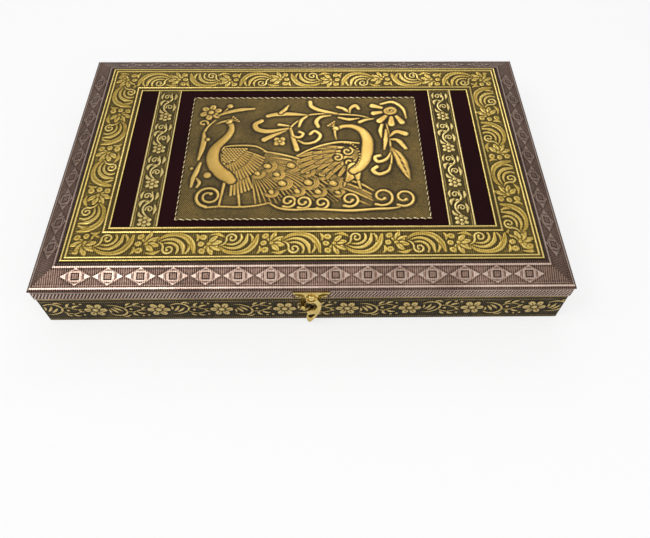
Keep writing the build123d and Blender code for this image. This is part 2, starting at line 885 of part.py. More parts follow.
def make_swing_hook():
    """The horn hook: an eye, an arm that bows to the right, a catch and a finger tab."""
    with BuildPart() as swing_hook:
        with BuildSketch(front_plane(latch_x, hook_back, latch_height)):
            with BuildLine():
                bow = Spline(
                    (2.4, 2.6),
                    (7.0, -5.5),
                    (6.6, -14.0),
                    (3.7, -22.5),
                    (-0.6, -30.6),
                    tangents=[(1, -0.5), (-0.6, -1)],
                )
                tab_end = ThreePointArc(bow @ 1, (-2.4, -31.0), (-3.2, -29.2))
                tab_side = Spline(tab_end @ 1, (-4.0, -24.0), (-2.6, -19.2), tangents=[(-0.2, 1), (0, 1)])
                catch_end = ThreePointArc(tab_side @ 1, (-3.6, -17.6), (-2.9, -15.6))
                mouth = Spline(
                    catch_end @ 1,
                    (1.6, -14.6),
                    (4.0, -9.8),
                    (2.6, -5.2),
                    (-1.0, -3.2),
                    tangents=[(1, 0.2), (-1, 0.4)],
                )
                Line(mouth @ 1, bow @ 0)
            make_face()
            Circle(hook_eye_radius)
            Circle(rivet_radius + rivet_clearance, mode=Mode.SUBTRACT)
        extrude(amount=hook_thickness)
        recess_out = hook_back + hook_thickness - hook_recess_depth
        with BuildSketch(front_plane(latch_x, recess_out, latch_height)):
            Circle(hook_recess_radius)
        extrude(amount=hook_recess_depth, mode=Mode.SUBTRACT)
    keep(swing_hook, "swing_hook")


os.makedirs("parts", exist_ok=True)

make_base_board()
make_tray_floor_lining()
make_wall_lining(
    "tray_wall_lining",
    tray_wall,
    tray_floor + lining_thickness,
    base_height - tray_lining_rim_gap,
)
make_long_divider()
for divider_name, divider_x in cross_divider_x.items():
    make_cross_divider(divider_name, divider_x)
make_keeper_peg()

for box_side in sides:
    make_base_wall(box_side)
    make_base_sheet(box_side)
    make_lid_rail(box_side)
    make_lid_bevel(box_side)
    make_copper_sheet(box_side)
    make_border(box_side)

make_lid_board()
make_lid_lining()
make_wall_lining("lid_rim_lining", lid_wall, lid_bottom + lining_gap, bevel_bottom)
make_velvet_inlay()
make_gold_strip("left", -strip_x)
make_gold_strip("right", strip_x)
make_plaque()
make_plaque_rope()

for hinge_name in hinge_centres:
    make_hinge_leaves(hinge_name)
    make_hinge_pin(hinge_name)
make_nails("base_hinge_nails", base_hinge_holes, back_base_y + hinge_leaf_thickness, 1)
make_nails("lid_hinge_nails", lid_hinge_holes, back_lip_y + hinge_leaf_thickness, 1)

make_latch_plate()
make_nails("latch_plate_nails", latch_holes, front_lip_y - latch_plate_thickness, -1)
make_hook_rivet()
make_swing_hook()
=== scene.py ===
"""Looks of the dry fruit box: chased metal sheet, velvet, rope edging and a polished hook latch.

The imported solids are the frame. Each sheet of the box is a closed mesh whose face is beaten up
from a canvas of heights, in millimetres, on which the flowers, scrolls and peacocks are drawn.
"""

import logging
import math
from collections.abc import Sequence
from dataclasses import dataclass, field
from enum import Enum

import bpy
import numpy as np
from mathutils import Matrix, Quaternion, Vector


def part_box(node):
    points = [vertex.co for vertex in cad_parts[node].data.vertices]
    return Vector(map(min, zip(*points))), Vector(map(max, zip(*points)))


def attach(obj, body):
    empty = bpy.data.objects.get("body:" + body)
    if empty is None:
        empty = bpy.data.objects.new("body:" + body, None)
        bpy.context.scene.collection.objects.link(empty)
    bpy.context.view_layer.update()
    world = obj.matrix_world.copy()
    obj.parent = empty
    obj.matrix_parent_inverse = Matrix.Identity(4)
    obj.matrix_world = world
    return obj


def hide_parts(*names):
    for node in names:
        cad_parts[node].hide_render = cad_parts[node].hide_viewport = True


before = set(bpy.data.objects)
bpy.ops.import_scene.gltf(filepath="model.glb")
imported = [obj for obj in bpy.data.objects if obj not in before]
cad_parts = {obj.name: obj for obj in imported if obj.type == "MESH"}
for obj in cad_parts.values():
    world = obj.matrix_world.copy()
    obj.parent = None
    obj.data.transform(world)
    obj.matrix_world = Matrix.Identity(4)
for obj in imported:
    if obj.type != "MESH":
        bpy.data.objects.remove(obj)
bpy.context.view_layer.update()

log = logging.getLogger("dry_fruit_box")
logging.basicConfig(level=logging.INFO, format="%(name)s: %(message)s")

Point = tuple[float, float]
Span = tuple[float, float]
Place = tuple[float, float, float]
Colour = tuple[float, float, float]
Array = np.ndarray
Piece = bpy.types.Object
Mesh = bpy.types.Mesh
Material = bpy.types.Material
Socket = bpy.types.NodeSocket

# Sizes are in millimetres, unless a comment says otherwise.
MM = 0.001
CANVAS_CELL = 0.25
SHEET_CELL = 0.5
SIDE_CELL = 0.6
PLAQUE_CELL = 0.51
LEAST_RADIUS = 0.12
CLEAR_MARGIN = 0.4

# Angles in degrees past which an edge stays crisp.
CRISP_SHEET, CRISP_PLATE, CRISP_STUD, CRISP_LATCH, CRISP_ROPE = 50.0, 20.0, 35.0, 40.0, 80.0


# Small tools


def srgb(red: int, green: int, blue: int) -> Colour:
    """Turn a colour of 0 to 255 as seen on a screen into linear light."""
    return tuple(
        v / 12.92 if v <= 0.04045 else ((v + 0.055) / 1.055) ** 2.4
        for v in (red / 255, green / 255, blue / 255)
    )


def extent(node: str) -> tuple[Array, Array]:
    """Lowest and highest corner of a solid at rest, in millimetres."""
    low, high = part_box(node)
    return np.array(low) / MM, np.array(high) / MM


def smooth_path(points: Sequence[Point], step: float) -> Array:
    """Run a smooth curve through a few points.

    Args:
        points: the points that the curve passes through.
        step: the spacing of the samples along it.

    Returns:
        The samples, one row each.
    """
    p = np.array(points, float)
    if len(p) == 2:
        count = max(2, int(np.hypot(*(p[1] - p[0])) / step))
        return p[0] + (p[1] - p[0]) * np.linspace(0, 1, count)[:, None]
    padded = np.vstack([2 * p[0] - p[1], p, 2 * p[-1] - p[-2]])
    pieces = []
    for a, b, c, d in zip(padded, padded[1:], padded[2:], padded[3:]):
        count = max(2, int(np.hypot(*(c - b)) / step))
        t = np.linspace(0, 1, count, endpoint=False)[:, None]
        pieces.append(
            0.5 * (2 * b + (c - a) * t + (2 * a - 5 * b + 4 * c - d) * t**2 + (3 * b - a - 3 * c + d) * t**3)
        )
    return np.vstack([*pieces, p[-1]])


def polar(x: float, y: float, angle: float, reach: float, squash: float = 1.0) -> Point:
    """The point at an angle and a reach from a centre; a squash below 1 makes the ring an oval."""
    return x + reach * math.cos(angle), y + reach * squash * math.sin(angle)


def inside(region: Array, x: float, y: float) -> bool:
    """Whether a point lies inside a closed line of corners."""
    odd = False
    for (x0, y0), (x1, y1) in zip(region, np.roll(region, -1, axis=0)):
        if (y0 > y) != (y1 > y) and x < (x1 - x0) * (y - y0) / (y1 - y0) + x0:
            odd = not odd
    return odd


def blurred(values: Array, radius: int) -> Array:
    """Average an array over a square twice, which is close to a soft round brush."""
    out = values
    for _ in range(2):
        for axis in (0, 1):
            pad = [(radius + 1, radius) if a == axis else (0, 0) for a in (0, 1)]
            total = np.cumsum(np.pad(out, pad, mode="edge"), axis=axis)
            count = out.shape[axis]
            upper = np.take(total, np.arange(count) + 2 * radius + 1, axis=axis)
            out = (upper - np.take(total, np.arange(count), axis=axis)) / (2 * radius + 1)
    return out


# Relief


class Profile(Enum):
    """How a raised stroke swells across its width."""

    ROUND = "round"
    LEAF = "leaf with a sunk midrib"
    BOWL = "raised rim and hollow middle"
    FLAT = "level top with eased edges"


MIDRIB_DEPTH, MIDRIB_WIDTH = 0.5, 0.2
BOWL_FLOOR, BOWL_RISE = 0.55, 0.45
BOWL_STEEP, FLAT_STEEP = 3.5, 3.0


def swell(profile: Profile, ratio: Array) -> Array:
    """Height from 0 to 1 at a share of the half width."""
    inside = np.clip(1 - ratio, 0, 1)
    body = np.sqrt(np.clip(1 - ratio**2, 0, 1))
    if profile is Profile.LEAF:
        return body * (1 - MIDRIB_DEPTH * np.exp(-((ratio / MIDRIB_WIDTH) ** 2)))
    if profile is Profile.BOWL:
        return np.clip(inside * BOWL_STEEP, 0, 1) * (BOWL_FLOOR + BOWL_RISE * ratio**2)
    if profile is Profile.FLAT:
        return np.clip(inside * FLAT_STEEP, 0, 1)
    return body


class Canvas:
    """A field of heights over a flat rectangle, on which motifs are chased."""

    COVER_SHARE = 0.12
    TOP_PERCENTILE = 99.5
    LEAST_TOP = 0.05
    EDGE_REACH = 0.55

    def __init__(self, left: float, bottom: float, length: float, width: float, halo: float = 1.0) -> None:
        """Start a flat canvas.

        Args:
            left: the lowest first coordinate.
            bottom: the lowest second coordinate.
            length: how far it runs along the first coordinate.
            width: how far it runs along the second.
            halo: how far round a spot counts in whether the spot stands proud.
        """
        self.left = left
        self.bottom = bottom
        self.xs = left + np.arange(int(round(length / CANVAS_CELL)) + 1) * CANVAS_CELL
        self.ys = bottom + np.arange(int(round(width / CANVAS_CELL)) + 1) * CANVAS_CELL
        self.height = np.zeros((len(self.ys), len(self.xs)))
        self.halo = halo

    def window(self, low: Array, high: Array) -> tuple[slice, slice]:
        """Rows and columns that cover a box."""
        c0, c1 = np.searchsorted(self.xs, (low[0], high[0]))
        r0, r1 = np.searchsorted(self.ys, (low[1], high[1]))
        return slice(r0, r1), slice(c0, c1)

    def stroke(
        self, points: Sequence[Point], widths: Sequence[float], height: float = 0.5,
        profile: Profile = Profile.ROUND, moat: float = 0.0,
    ) -> None:
        """Raise a stroke along a smooth curve.

        Args:
            points: the points that it follows.
            widths: its full width at even spaces along it.
            height: how high its widest part stands.
            profile: its shape across.
            moat: width of the trench pressed round it, which cuts it free of what lies below.
        """
        path = smooth_path(points, CANVAS_CELL)
        run = np.concatenate([[0], np.cumsum(np.hypot(*np.diff(path, axis=0).T))])
        share = run / max(run[-1], 1e-9)
        radius = np.interp(share, np.linspace(0, 1, len(widths)), np.array(widths, float) / 2)
        radius = np.maximum(radius, LEAST_RADIUS)
        edge = radius.max() + moat + CANVAS_CELL
        rows, columns = self.window(path.min(axis=0) - edge, path.max(axis=0) + edge)
        x, y = self.xs[columns], self.ys[rows]
        if not len(x) or not len(y):
            return
        across = (x[:, None] - path[:, 0]) ** 2
        upward = (y[:, None] - path[:, 1]) ** 2
        square = (upward[:, None, :] + across[None, :, :]) / radius**2
        nearest = square.argmin(axis=2)
        ratio = np.sqrt(np.take_along_axis(square, nearest[..., None], axis=2)[..., 0])
        raised = height * np.sqrt(radius[nearest] / radius.max()) * swell(profile, ratio)
        below = self.height[rows, columns]
        if moat:
            away = np.clip((ratio - 1) * radius[nearest] / moat, 0, 1)
            covering = np.maximum(raised, self.COVER_SHARE * height)
            self.height[rows, columns] = np.where(ratio < 1, covering, below * away)
        else:
            self.height[rows, columns] = np.maximum(below, raised)

    def bead(self, x: float, y: float, size: float, height: float = 0.5, moat: float = 0.0) -> None:
        """Raise one round boss."""
        self.stroke([(x, y), (x + 0.01, y)], (size, size), height, moat=moat)

    def line(self, start: Point, end: Point, width: float, height: float) -> None:
        """Raise one straight round-topped line."""
        self.stroke([start, end], (width, width), height)

    def flower(self, x: float, y: float, size: float, petals: int, turn: float, height: float = 0.6) -> None:
        """Raise a ring of petals round an oval centre."""
        width = 2.1 * size * 0.62 * math.sin(math.pi / petals)
        for index in range(petals):
            angle = turn + index * math.tau / petals
            ends = [polar(x, y, angle, size * 0.42), polar(x, y, angle, size - width * 0.45)]
            self.stroke(ends, (width * 0.45, width, width * 0.9), height, Profile.LEAF, moat=0.35)
        self.bead(x, y, size * 0.62, height * 1.05, moat=0.3)

    def spiral(
        self, x: float, y: float, size: float, start: float, sweep: float, width: float, height: float = 0.5
    ) -> None:
        """Raise a curl that winds inwards round a centre and ends in a boss.

        Args:
            x: first coordinate of the centre.
            y: second coordinate.
            size: radius where it starts.
            start: angle where it starts, in degrees.
            sweep: degrees that it winds through; negative turns clockwise.
            width: width where it starts.
            height: how high it stands.
        """
        steps = max(6, int(abs(sweep) / 30))
        shares = [index / steps for index in range(steps + 1)]
        curl = [polar(x, y, math.radians(start + sweep * t), size * (1 - 0.72 * t)) for t in shares]
        self.stroke(curl, (width, width * 0.9, width * 0.7), height)
        self.bead(*curl[-1], width * 1.25, height)

    def leaf(self, points: Sequence[Point], width: float, height: float = 0.55, moat: float = 0.0) -> None:
        """Raise a leaf that is pointed at both ends, with a sunk midrib."""
        self.stroke(points, (width * 0.15, width * 0.8, width, width * 0.7, 0.3), height, Profile.LEAF, moat)

    def band(self, place: float, width: float, height: float) -> None:
        """Raise a round-topped line along the whole length, at a distance across."""
        ratio = np.abs(self.ys - place) / (width / 2)
        raised = height * swell(Profile.ROUND, np.minimum(ratio, 1.0))
        self.height = np.maximum(self.height, raised[:, None])

    def stamp(self, other: "Canvas", x: float, y: float, turned_over: bool = False) -> None:
        """Press a smaller canvas in, its lower left corner at a place."""
        tile = other.height[::-1] if turned_over else other.height
        c0 = int(round((x - self.left) / CANVAS_CELL))
        r0 = int(round((y - self.bottom) / CANVAS_CELL))
        a, b = max(c0, 0), min(c0 + tile.shape[1], self.height.shape[1])
        p, q = max(r0, 0), min(r0 + tile.shape[0], self.height.shape[0])
        if a < b and p < q:
            part = tile[p - r0:q - r0, a - c0:b - c0]
            self.height[p:q, a:b] = np.maximum(self.height[p:q, a:b], part)

    def clear(self, left: float, right: float, bottom: float, top: float) -> None:
        """Beat a rectangle flat again, where another piece lies on the sheet."""
        rows, columns = self.window(np.array([left, bottom]), np.array([right, top]))
        self.height[rows, columns] = 0.0

    def read(self, x: Array, y: Array) -> tuple[Array, dict[str, Array]]:
        """Read the finished canvas at the vertices of a sheet.

        Args:
            x: their first coordinates.
            y: their second coordinates.

        Returns:
            The eased heights, and what the finish reads: how raised and how exposed each vertex is,
            which the finish paints as highlight on proud rims and as shade in the moats beside them,
            and its place on the flat sheet.
        """
        height = blurred(self.height, 1)
        top = max(np.percentile(height, self.TOP_PERCENTILE), self.LEAST_TOP)
        # How far a spot stands proud of what lies round it; the finish paints this as highlight on the rims
        # of raised forms and as shade in the moats beside them.
        proud = height - blurred(height, int(self.halo / CANVAS_CELL))
        marks = {
            "relief": self._between(np.clip(height / top, 0, 1), x, y),
            "edge": self._between(np.clip(0.5 + proud / (self.EDGE_REACH * top), 0, 1), x, y),
            "sheet": np.stack([x, y, np.zeros_like(x)], axis=-1),
        }
        return self._between(height, x, y), marks

    def _between(self, values: Array, x: Array, y: Array) -> Array:
        """Read an array of the canvas between its cells."""
        u = np.clip((x - self.left) / CANVAS_CELL, 0, len(self.xs) - 1.001)
        v = np.clip((y - self.bottom) / CANVAS_CELL, 0, len(self.ys) - 1.001)
        i, j = u.astype(int), v.astype(int)
        fu, fv = u - i, v - j
        low = values[j, i] * (1 - fu) + values[j, i + 1] * fu
        high = values[j + 1, i] * (1 - fu) + values[j + 1, i + 1] * fu
        return low * (1 - fv) + high * fv


# Meshes


def new_object(name: str, mesh: Mesh) -> Piece:
    """Link a mesh to the scene as a piece at the origin."""
    piece = bpy.data.objects.new(name, mesh)
    bpy.context.scene.collection.objects.link(piece)
    return piece


def build_mesh(
    name: str, vertices: Array, faces: Sequence[Array], attributes: dict[str, Array] | None = None,
    sharp: float = CRISP_SHEET,
) -> Piece:
    """Make a piece from arrays, with its faces turned outwards.

    Args:
        name: the piece's name.
        vertices: one row of three per vertex.
        faces: arrays of faces, each with one row per face, or a flat array for a single face.
        attributes: values by vertex, three a row for a vector.
        sharp: angle past which an edge stays crisp.

    Returns:
        The piece.
    """
    rows = [f if f.ndim == 2 else f[None, :] for f in faces]
    volume = 0.0
    for block in rows:
        a = vertices[block[:, 0]]
        for k in range(1, block.shape[1] - 1):
            volume += np.einsum("ij,ij->", a, np.cross(vertices[block[:, k]], vertices[block[:, k + 1]]))
    if volume < 0:
        rows = [block[:, ::-1] for block in rows]
    sizes = np.concatenate([np.full(len(block), block.shape[1]) for block in rows])
    corners = np.concatenate([block.ravel() for block in rows]).astype(np.int32)
    mesh = bpy.data.meshes.new(name)
    mesh.vertices.add(len(vertices))
    mesh.vertices.foreach_set("co", (vertices * MM).astype(np.float32).ravel())
    mesh.loops.add(len(corners))
    mesh.loops.foreach_set("vertex_index", corners)
    mesh.polygons.add(len(sizes))
    mesh.polygons.foreach_set("loop_start", np.concatenate([[0], np.cumsum(sizes)[:-1]]).astype(np.int32))
    mesh.update(calc_edges=True)
    for key, values in (attributes or {}).items():
        vector = values.ndim == 2
        layer = mesh.attributes.new(key, "FLOAT_VECTOR" if vector else "FLOAT", "POINT")
        layer.data.foreach_set("vector" if vector else "value", values.astype(np.float32).ravel())
    mesh.shade_smooth()
    mesh.set_sharp_from_angle(angle=math.radians(sharp))
    return new_object(name, mesh)


def grid_faces(rows: int, columns: int, start: int) -> Array:
    """Four-sided faces of a grid of vertices."""
    index = start + np.arange(rows * columns).reshape(rows, columns)
    a, b = index[:-1, :-1], index[:-1, 1:]
    c, d = index[1:, 1:], index[1:, :-1]
    return np.stack([a, b, c, d], axis=-1).reshape(-1, 4)


def shell(name: str, front: Array, back: Array, marks: dict[str, Array]) -> Piece:
    """Close a sheet: a fine front, a plain back, and edges all round.

    Args:
        name: the piece's name.
        front: front vertices by row and column.
        back: back vertices, with the same columns and few rows.
        marks: values on the front that the finish reads.

    Returns:
        The piece.
    """
    rows, columns = front.shape[:2]
    depth = back.shape[0]
    count = rows * columns
    vertices = np.vstack([front.reshape(-1, 3), back.reshape(-1, 3)])
    f = np.arange(count).reshape(rows, columns)
    b = count + np.arange(depth * columns).reshape(depth, columns)
    faces = [grid_faces(rows, columns, 0), grid_faces(depth, columns, count)[:, ::-1]]
    for near, far, flip in ((f[0], b[0], False), (f[-1], b[-1], True)):
        rim = np.stack([near[1:], near[:-1], far[:-1], far[1:]], axis=-1)
        faces.append(rim[:, ::-1] if flip else rim)
    faces.append(np.concatenate([f[:, 0], b[::-1, 0]]))
    faces.append(np.concatenate([f[::-1, -1], b[:, -1]]))
    values = {}
    for key, array in marks.items():
        flat = array.reshape(count, -1)
        # The back and the cut edges get no values, so the finish paints them its darkest colour: painted
        # shade along the sheet's edges.
        rest = np.zeros((depth * columns, flat.shape[1]))
        whole = np.vstack([flat, rest])
        values[key] = whole if whole.shape[1] == 3 else whole[:, 0]
    return build_mesh(name, vertices, faces, values)


@dataclass(frozen=True)
class Side:
    """One side of the box: its name, the way that it faces and its half lengths at the ridge."""

    name: str
    outward: tuple[int, int]
    reach: float
    run: float

    def place(self, along: Array, inset: Array, height: Array) -> Array:
        """Turn distances along the side, in from the ridge and up into points of the frame."""
        ox, oy = self.outward
        out = self.reach - inset
        return np.stack([ox * out - oy * along, oy * out + ox * along, height], axis=-1)

    def insets(self, node: str) -> Span:
        """How far in from the ridge the outer and the inner face of a solid on this side stand."""
        low, high = extent(node)
        axis = 1 if self.outward[0] == 0 else 0
        near, far = sorted((abs(low[axis]), abs(high[axis])))
        return self.reach - far, self.reach - near


RIDGE_X = float(extent("copper_right_sheet")[1][0])
RIDGE_Y = float(-extent("copper_front_sheet")[0][1])
SIDES = (
    Side("front", (0, -1), RIDGE_Y, RIDGE_X),
    Side("back", (0, 1), RIDGE_Y, RIDGE_X),
    Side("left", (-1, 0), RIDGE_X, RIDGE_Y),
    Side("right", (1, 0), RIDGE_X, RIDGE_Y),
)


@dataclass
class BentSheet:
    """A sheet bent along a section and mitred at both ends, its face raised from a canvas."""

    side: Side
    section: list[Point]
    thickness: float
    canvas: Canvas
    cell: float = SHEET_CELL

    def _stations(self) -> tuple[Array, Array, Array]:
        """Even stations up the section: (inset, height), outward normals and girth."""
        p = np.array(self.section)
        lengths = np.hypot(*np.diff(p, axis=0).T)
        girth = np.concatenate([[0], np.cumsum(lengths)])
        knots = [0.0]
        for start, end in zip(girth, girth[1:]):
            count = max(1, int(round((end - start) / self.cell)))
            knots += list(np.linspace(start, end, count + 1)[1:])
        t = np.array(knots)
        places = np.stack([np.interp(t, girth, p[:, 0]), np.interp(t, girth, p[:, 1])], axis=1)
        slopes = np.diff(p, axis=0) / lengths[:, None]
        owner = np.clip(np.searchsorted(girth, t, side="right") - 1, 0, len(slopes) - 1)
        before = np.clip(np.searchsorted(girth, t, side="left") - 1, 0, len(slopes) - 1)
        tangent = slopes[owner] + slopes[before]
        tangent /= np.hypot(*tangent.T)[:, None]
        normal = np.stack([-tangent[:, 1], tangent[:, 0]], axis=1)
        return places, normal, t

    def build(self, name: str) -> Piece:
        """Make the closed sheet as a piece of that name."""
        places, normal, t = self._stations()
        columns = int(round(2 * self.side.run / self.cell)) + 1
        share = np.linspace(-1, 1, columns)[None, :]
        x = share * (self.side.run - places[:, :1])
        girth = np.repeat(t[:, None], columns, axis=1)
        height, marks = self.canvas.read(x, girth)
        inset = places[:, :1] + normal[:, :1] * height
        up = places[:, 1:] + normal[:, 1:] * height
        front = self.side.place(share * (self.side.run - inset), inset, up)
        bends = np.hypot(*np.diff(np.array(self.section), axis=0).T)
        corners = np.concatenate([[0], np.cumsum(bends)])
        pick = [int(np.argmin(np.abs(t - corner))) for corner in corners]
        behind = places[pick] - normal[pick] * self.thickness
        ones = np.ones((1, columns))
        rear = share * (self.side.run - behind[:, :1])
        back = self.side.place(rear, behind[:, :1] * ones, behind[:, 1:] * ones)
        return shell(name, front, back, marks)


# Finishes


class NodeTree:
    """A short way to place and join the nodes of a tree."""

    def __init__(self, tree: bpy.types.NodeTree, family: str) -> None:
        """Work on a tree; the family is the word that its nodes' type names start with."""
        self.tree = tree
        self.family = family

    def add(
        self, kind: str, inputs: dict | None = None, family: str | None = None, **settings: object,
    ) -> bpy.types.Node:
        """Place a node.

        Args:
            kind: its type, without the family's word.
            inputs: by name or number, a value or a socket that is joined to the input.
            family: the word that its type starts with, where it isn't the tree's own.
            settings: the node's properties.

        Returns:
            The node.
        """
        node = self.tree.nodes.new((family or self.family) + kind)
        for key, value in settings.items():
            setattr(node, key, value)
        for key, value in (inputs or {}).items():
            socket = node.inputs[key]
            if isinstance(value, Socket):
                self.tree.links.new(value, socket)
            elif socket.type == "RGBA" and len(value) == 3:
                socket.default_value = (*value, 1)
            else:
                socket.default_value = value
        return node

    def math(self, operation: str, *values: object, clamp: bool = False) -> Socket:
        """The result of one sum on numbers or sockets."""
        terms = dict(enumerate(values))
        return self.add("Math", terms, "ShaderNode", operation=operation, use_clamp=clamp).outputs[0]

    def ramp(self, share: object, stops: Sequence[tuple[float, Colour]]) -> Socket:
        """A colour picked along a ramp."""
        node = self.add("ValToRGB", {"Fac": share})
        elements = node.color_ramp.elements
        for element, (position, colour) in zip(elements, (stops[0], stops[-1])):
            element.position, element.color = position, (*colour, 1)
        for position, colour in stops[1:-1]:
            elements.new(position).color = (*colour, 1)
        return node.outputs["Color"]


class NodeBoard(NodeTree):
    """The tree of a new material, and what most finishes need of it."""

    def __init__(self, name: str) -> None:
        """Start an empty material with that name."""
        self.material = bpy.data.materials.new(name)
        self.material.use_nodes = True
        self.material.node_tree.nodes.clear()
        super().__init__(self.material.node_tree, "ShaderNode")

    def attribute(self, name: str, output: str = "Fac") -> Socket:
        """A value that the mesh carries."""
        return self.add("Attribute", attribute_name=name).outputs[output]

    def place(self, *scale: float) -> Socket:
        """The place on the piece in metres of the box's own frame, stretched by a scale if there is one."""
        where = self.add("TexCoord").outputs["Object"]
        return self.add("Mapping", {"Vector": where, "Scale": scale}).outputs[0] if scale else where

    def noise(self, scale: float, detail: float = 3.0, vector: object = None) -> Socket:
        """Soft noise with an average of about a half."""
        where = vector if vector is not None else self.place()
        return self.add("TexNoise", {"Vector": where, "Scale": scale, "Detail": detail}).outputs["Fac"]

    def blend(self, share: object, first: object, second: object) -> Socket:
        """A colour between two."""
        return self.add("Mix", {0: share, 6: first, 7: second}, data_type="RGBA").outputs[2]

    def spread(self, share: object, low: float, high: float) -> Socket:
        """A number between two, by a share of 0 to 1."""
        return self.math("MULTIPLY_ADD", share, high - low, low)

    def bump(self, height: object, distance: float) -> Socket:
        """Fine unevenness for the shader's normal."""
        return self.add("Bump", {"Height": height, "Distance": distance, "Strength": 1.0}).outputs["Normal"]

    def finish(self, **inputs: object) -> Material:
        """End in the metal or cloth shader, with inputs by name; an underscore stands for a space."""
        shader = self.add("BsdfPrincipled", {key.replace("_", " "): value for key, value in inputs.items()})
        self.add("OutputMaterial", {"Surface": shader.outputs["BSDF"]})
        return self.material


class Hatch(Enum):
    """What is struck into the ground of a sheet between its motifs."""

    CROSS = "fine crossed lines"
    RIBS = "fine lines across the strip"


@dataclass(frozen=True)
class ChasedMetal:
    """Thin metal sheet, lacquered dark in its hollows and rubbed bright where it stands proud, with painted
    shade in the moats beside raised forms and painted highlight on their rims.
    """

    name: str
    # From darkest to brightest: the hollow colour is partly dark lacquer and partly painted shade, and the
    # crest colour partly rubbed metal and partly painted highlight.
    hollow: Colour
    ground: Colour
    body: Colour
    crest: Colour
    hatch: Hatch = Hatch.CROSS
    pitch: float = 1.1
    relief_share: float = 0.62
    painted_rim_light_share: float = 0.6
    hatch_share: float = 0.22
    lift: float = -0.12
    cloud_share: float = 0.35
    speck_share: float = 0.3
    rough: Span = (0.55, 0.3)
    metal: Span = (0.7, 1.0)
    stops: tuple[float, ...] = (0.08, 0.34, 0.62, 0.92)
    clouds_per_metre: float = 38.0
    specks_per_metre: float = 700.0
    bump: float = 0.00022

    def _struck(self, board: NodeBoard) -> Socket:
        """The pattern of the ground, from 0 to 1."""
        split = board.add("SeparateXYZ", {"Vector": board.attribute("sheet", "Vector")})
        waves = []
        for axis in ("X", "Y"):
            turns = board.math("MULTIPLY", split.outputs[axis], math.tau / self.pitch)
            waves.append(board.math("SINE", turns))
        wave = waves[0] if self.hatch is Hatch.RIBS else board.math("MULTIPLY", *waves)
        return board.math("MULTIPLY_ADD", wave, 0.5, 0.5)

    def material(self) -> Material:
        """Build the finish: a shade from 0 to 1, summed from the mesh's values, picks the colour."""
        board = NodeBoard(self.name)
        relief = board.attribute("relief")
        low = board.math("SUBTRACT", 1.0, relief, clamp=True)
        struck = board.math("MULTIPLY", self._struck(board), low)
        cloud = board.math("SUBTRACT", board.noise(self.clouds_per_metre, 4.0), 0.5)
        speck = board.noise(self.specks_per_metre, 2.0)
        shade: object = self.lift
        # The relief term is partly real, dark lacquer in the hollows and rubbed metal on the crests, and
        # partly painted shade and highlight; the edge term is painted highlight on the rims of raised forms
        # and painted shade in the moats beside them.
        for term, share in (
            (relief, self.relief_share), (board.attribute("edge"), self.painted_rim_light_share),
            (struck, self.hatch_share), (cloud, self.cloud_share),
        ):
            shade = board.math("MULTIPLY_ADD", term, share, shade)
        grain = board.math("SUBTRACT", speck, 0.5)
        shade = board.math("MULTIPLY_ADD", grain, self.speck_share, shade, clamp=True)
        colours = (self.hollow, self.ground, self.body, self.crest)
        height = board.math("MULTIPLY_ADD", struck, 0.8, board.math("MULTIPLY", speck, 0.5))
        return board.finish(
            Base_Color=board.ramp(shade, list(zip(self.stops, colours))),
            Metallic=board.spread(shade, *self.metal),
            Roughness=board.spread(shade, *self.rough),
            Normal=board.bump(height, self.bump),
        )


@dataclass(frozen=True)
class CastBrass:
    """Polished brass with a little dullness where fingers have been."""

    name: str
    colour: Colour
    dull: Colour
    rough: Span = (0.12, 0.26)
    worn_from: float = 0.42
    worn_to: float = 0.7
    bump: float = 0.0001

    def material(self) -> Material:
        """Build the finish."""
        board = NodeBoard(self.name)
        cloud = board.noise(160.0, 4.0)
        span = {"Value": cloud, "From Min": self.worn_from, "From Max": self.worn_to}
        share = board.add("MapRange", span).outputs[0]
        fine = board.math("MULTIPLY", board.noise(1500.0, 2.0), 0.1)
        return board.finish(
            Base_Color=board.blend(share, self.colour, self.dull),
            Metallic=1.0,
            Roughness=board.spread(share, *self.rough),
            Normal=board.bump(board.math("MULTIPLY_ADD", cloud, 0.3, fine), self.bump),
        )


@dataclass(frozen=True)
class TwistedGold:
    """Two strands laid together, one painted bright as highlight and one painted dark as shade, as the mesh's
    strand value says.
    """

    name: str
    bright: Colour
    dark: Colour
    rough: Span = (0.2, 0.45)
    bump: float = 0.0001

    def material(self) -> Material:
        """Build the finish."""
        board = NodeBoard(self.name)
        worn = board.noise(500.0, 3.0)
        # The strand's number picks painted highlight or painted shade.
        strand = board.math("MULTIPLY_ADD", board.attribute("strand"), 0.9, -0.12)
        share = board.math("MULTIPLY_ADD", worn, 0.3, strand, clamp=True)
        return board.finish(
            Base_Color=board.blend(share, self.bright, self.dark),
            Metallic=1.0,
            Roughness=board.spread(worn, *self.rough),
            Normal=board.bump(worn, self.bump),
        )


@dataclass(frozen=True)
class Velvet:
    """Short dark pile, brushed unevenly, with a soft sheen at a slant."""

    name: str
    root: Colour
    tip: Colour
    sheen: Colour
    bump: float = 0.0004

    def material(self) -> Material:
        """Build the finish."""
        board = NodeBoard(self.name)
        brushed = board.noise(22.0, 3.0, board.place(1.0, 0.55, 1.0))
        pile = board.noise(2600.0, 2.0)
        strokes = board.math("MULTIPLY_ADD", brushed, 0.9, -0.35)
        share = board.math("MULTIPLY_ADD", pile, 0.6, strokes, clamp=True)
        return board.finish(
            Base_Color=board.ramp(share, [(0.1, self.root), (0.9, self.tip)]),
            Roughness=0.95,
            Specular_IOR_Level=0.12,
            Sheen_Weight=0.2,
            Sheen_Roughness=0.35,
            Sheen_Tint=self.sheen,
            Normal=board.bump(board.math("MULTIPLY_ADD", brushed, 0.6, pile), self.bump),
        )


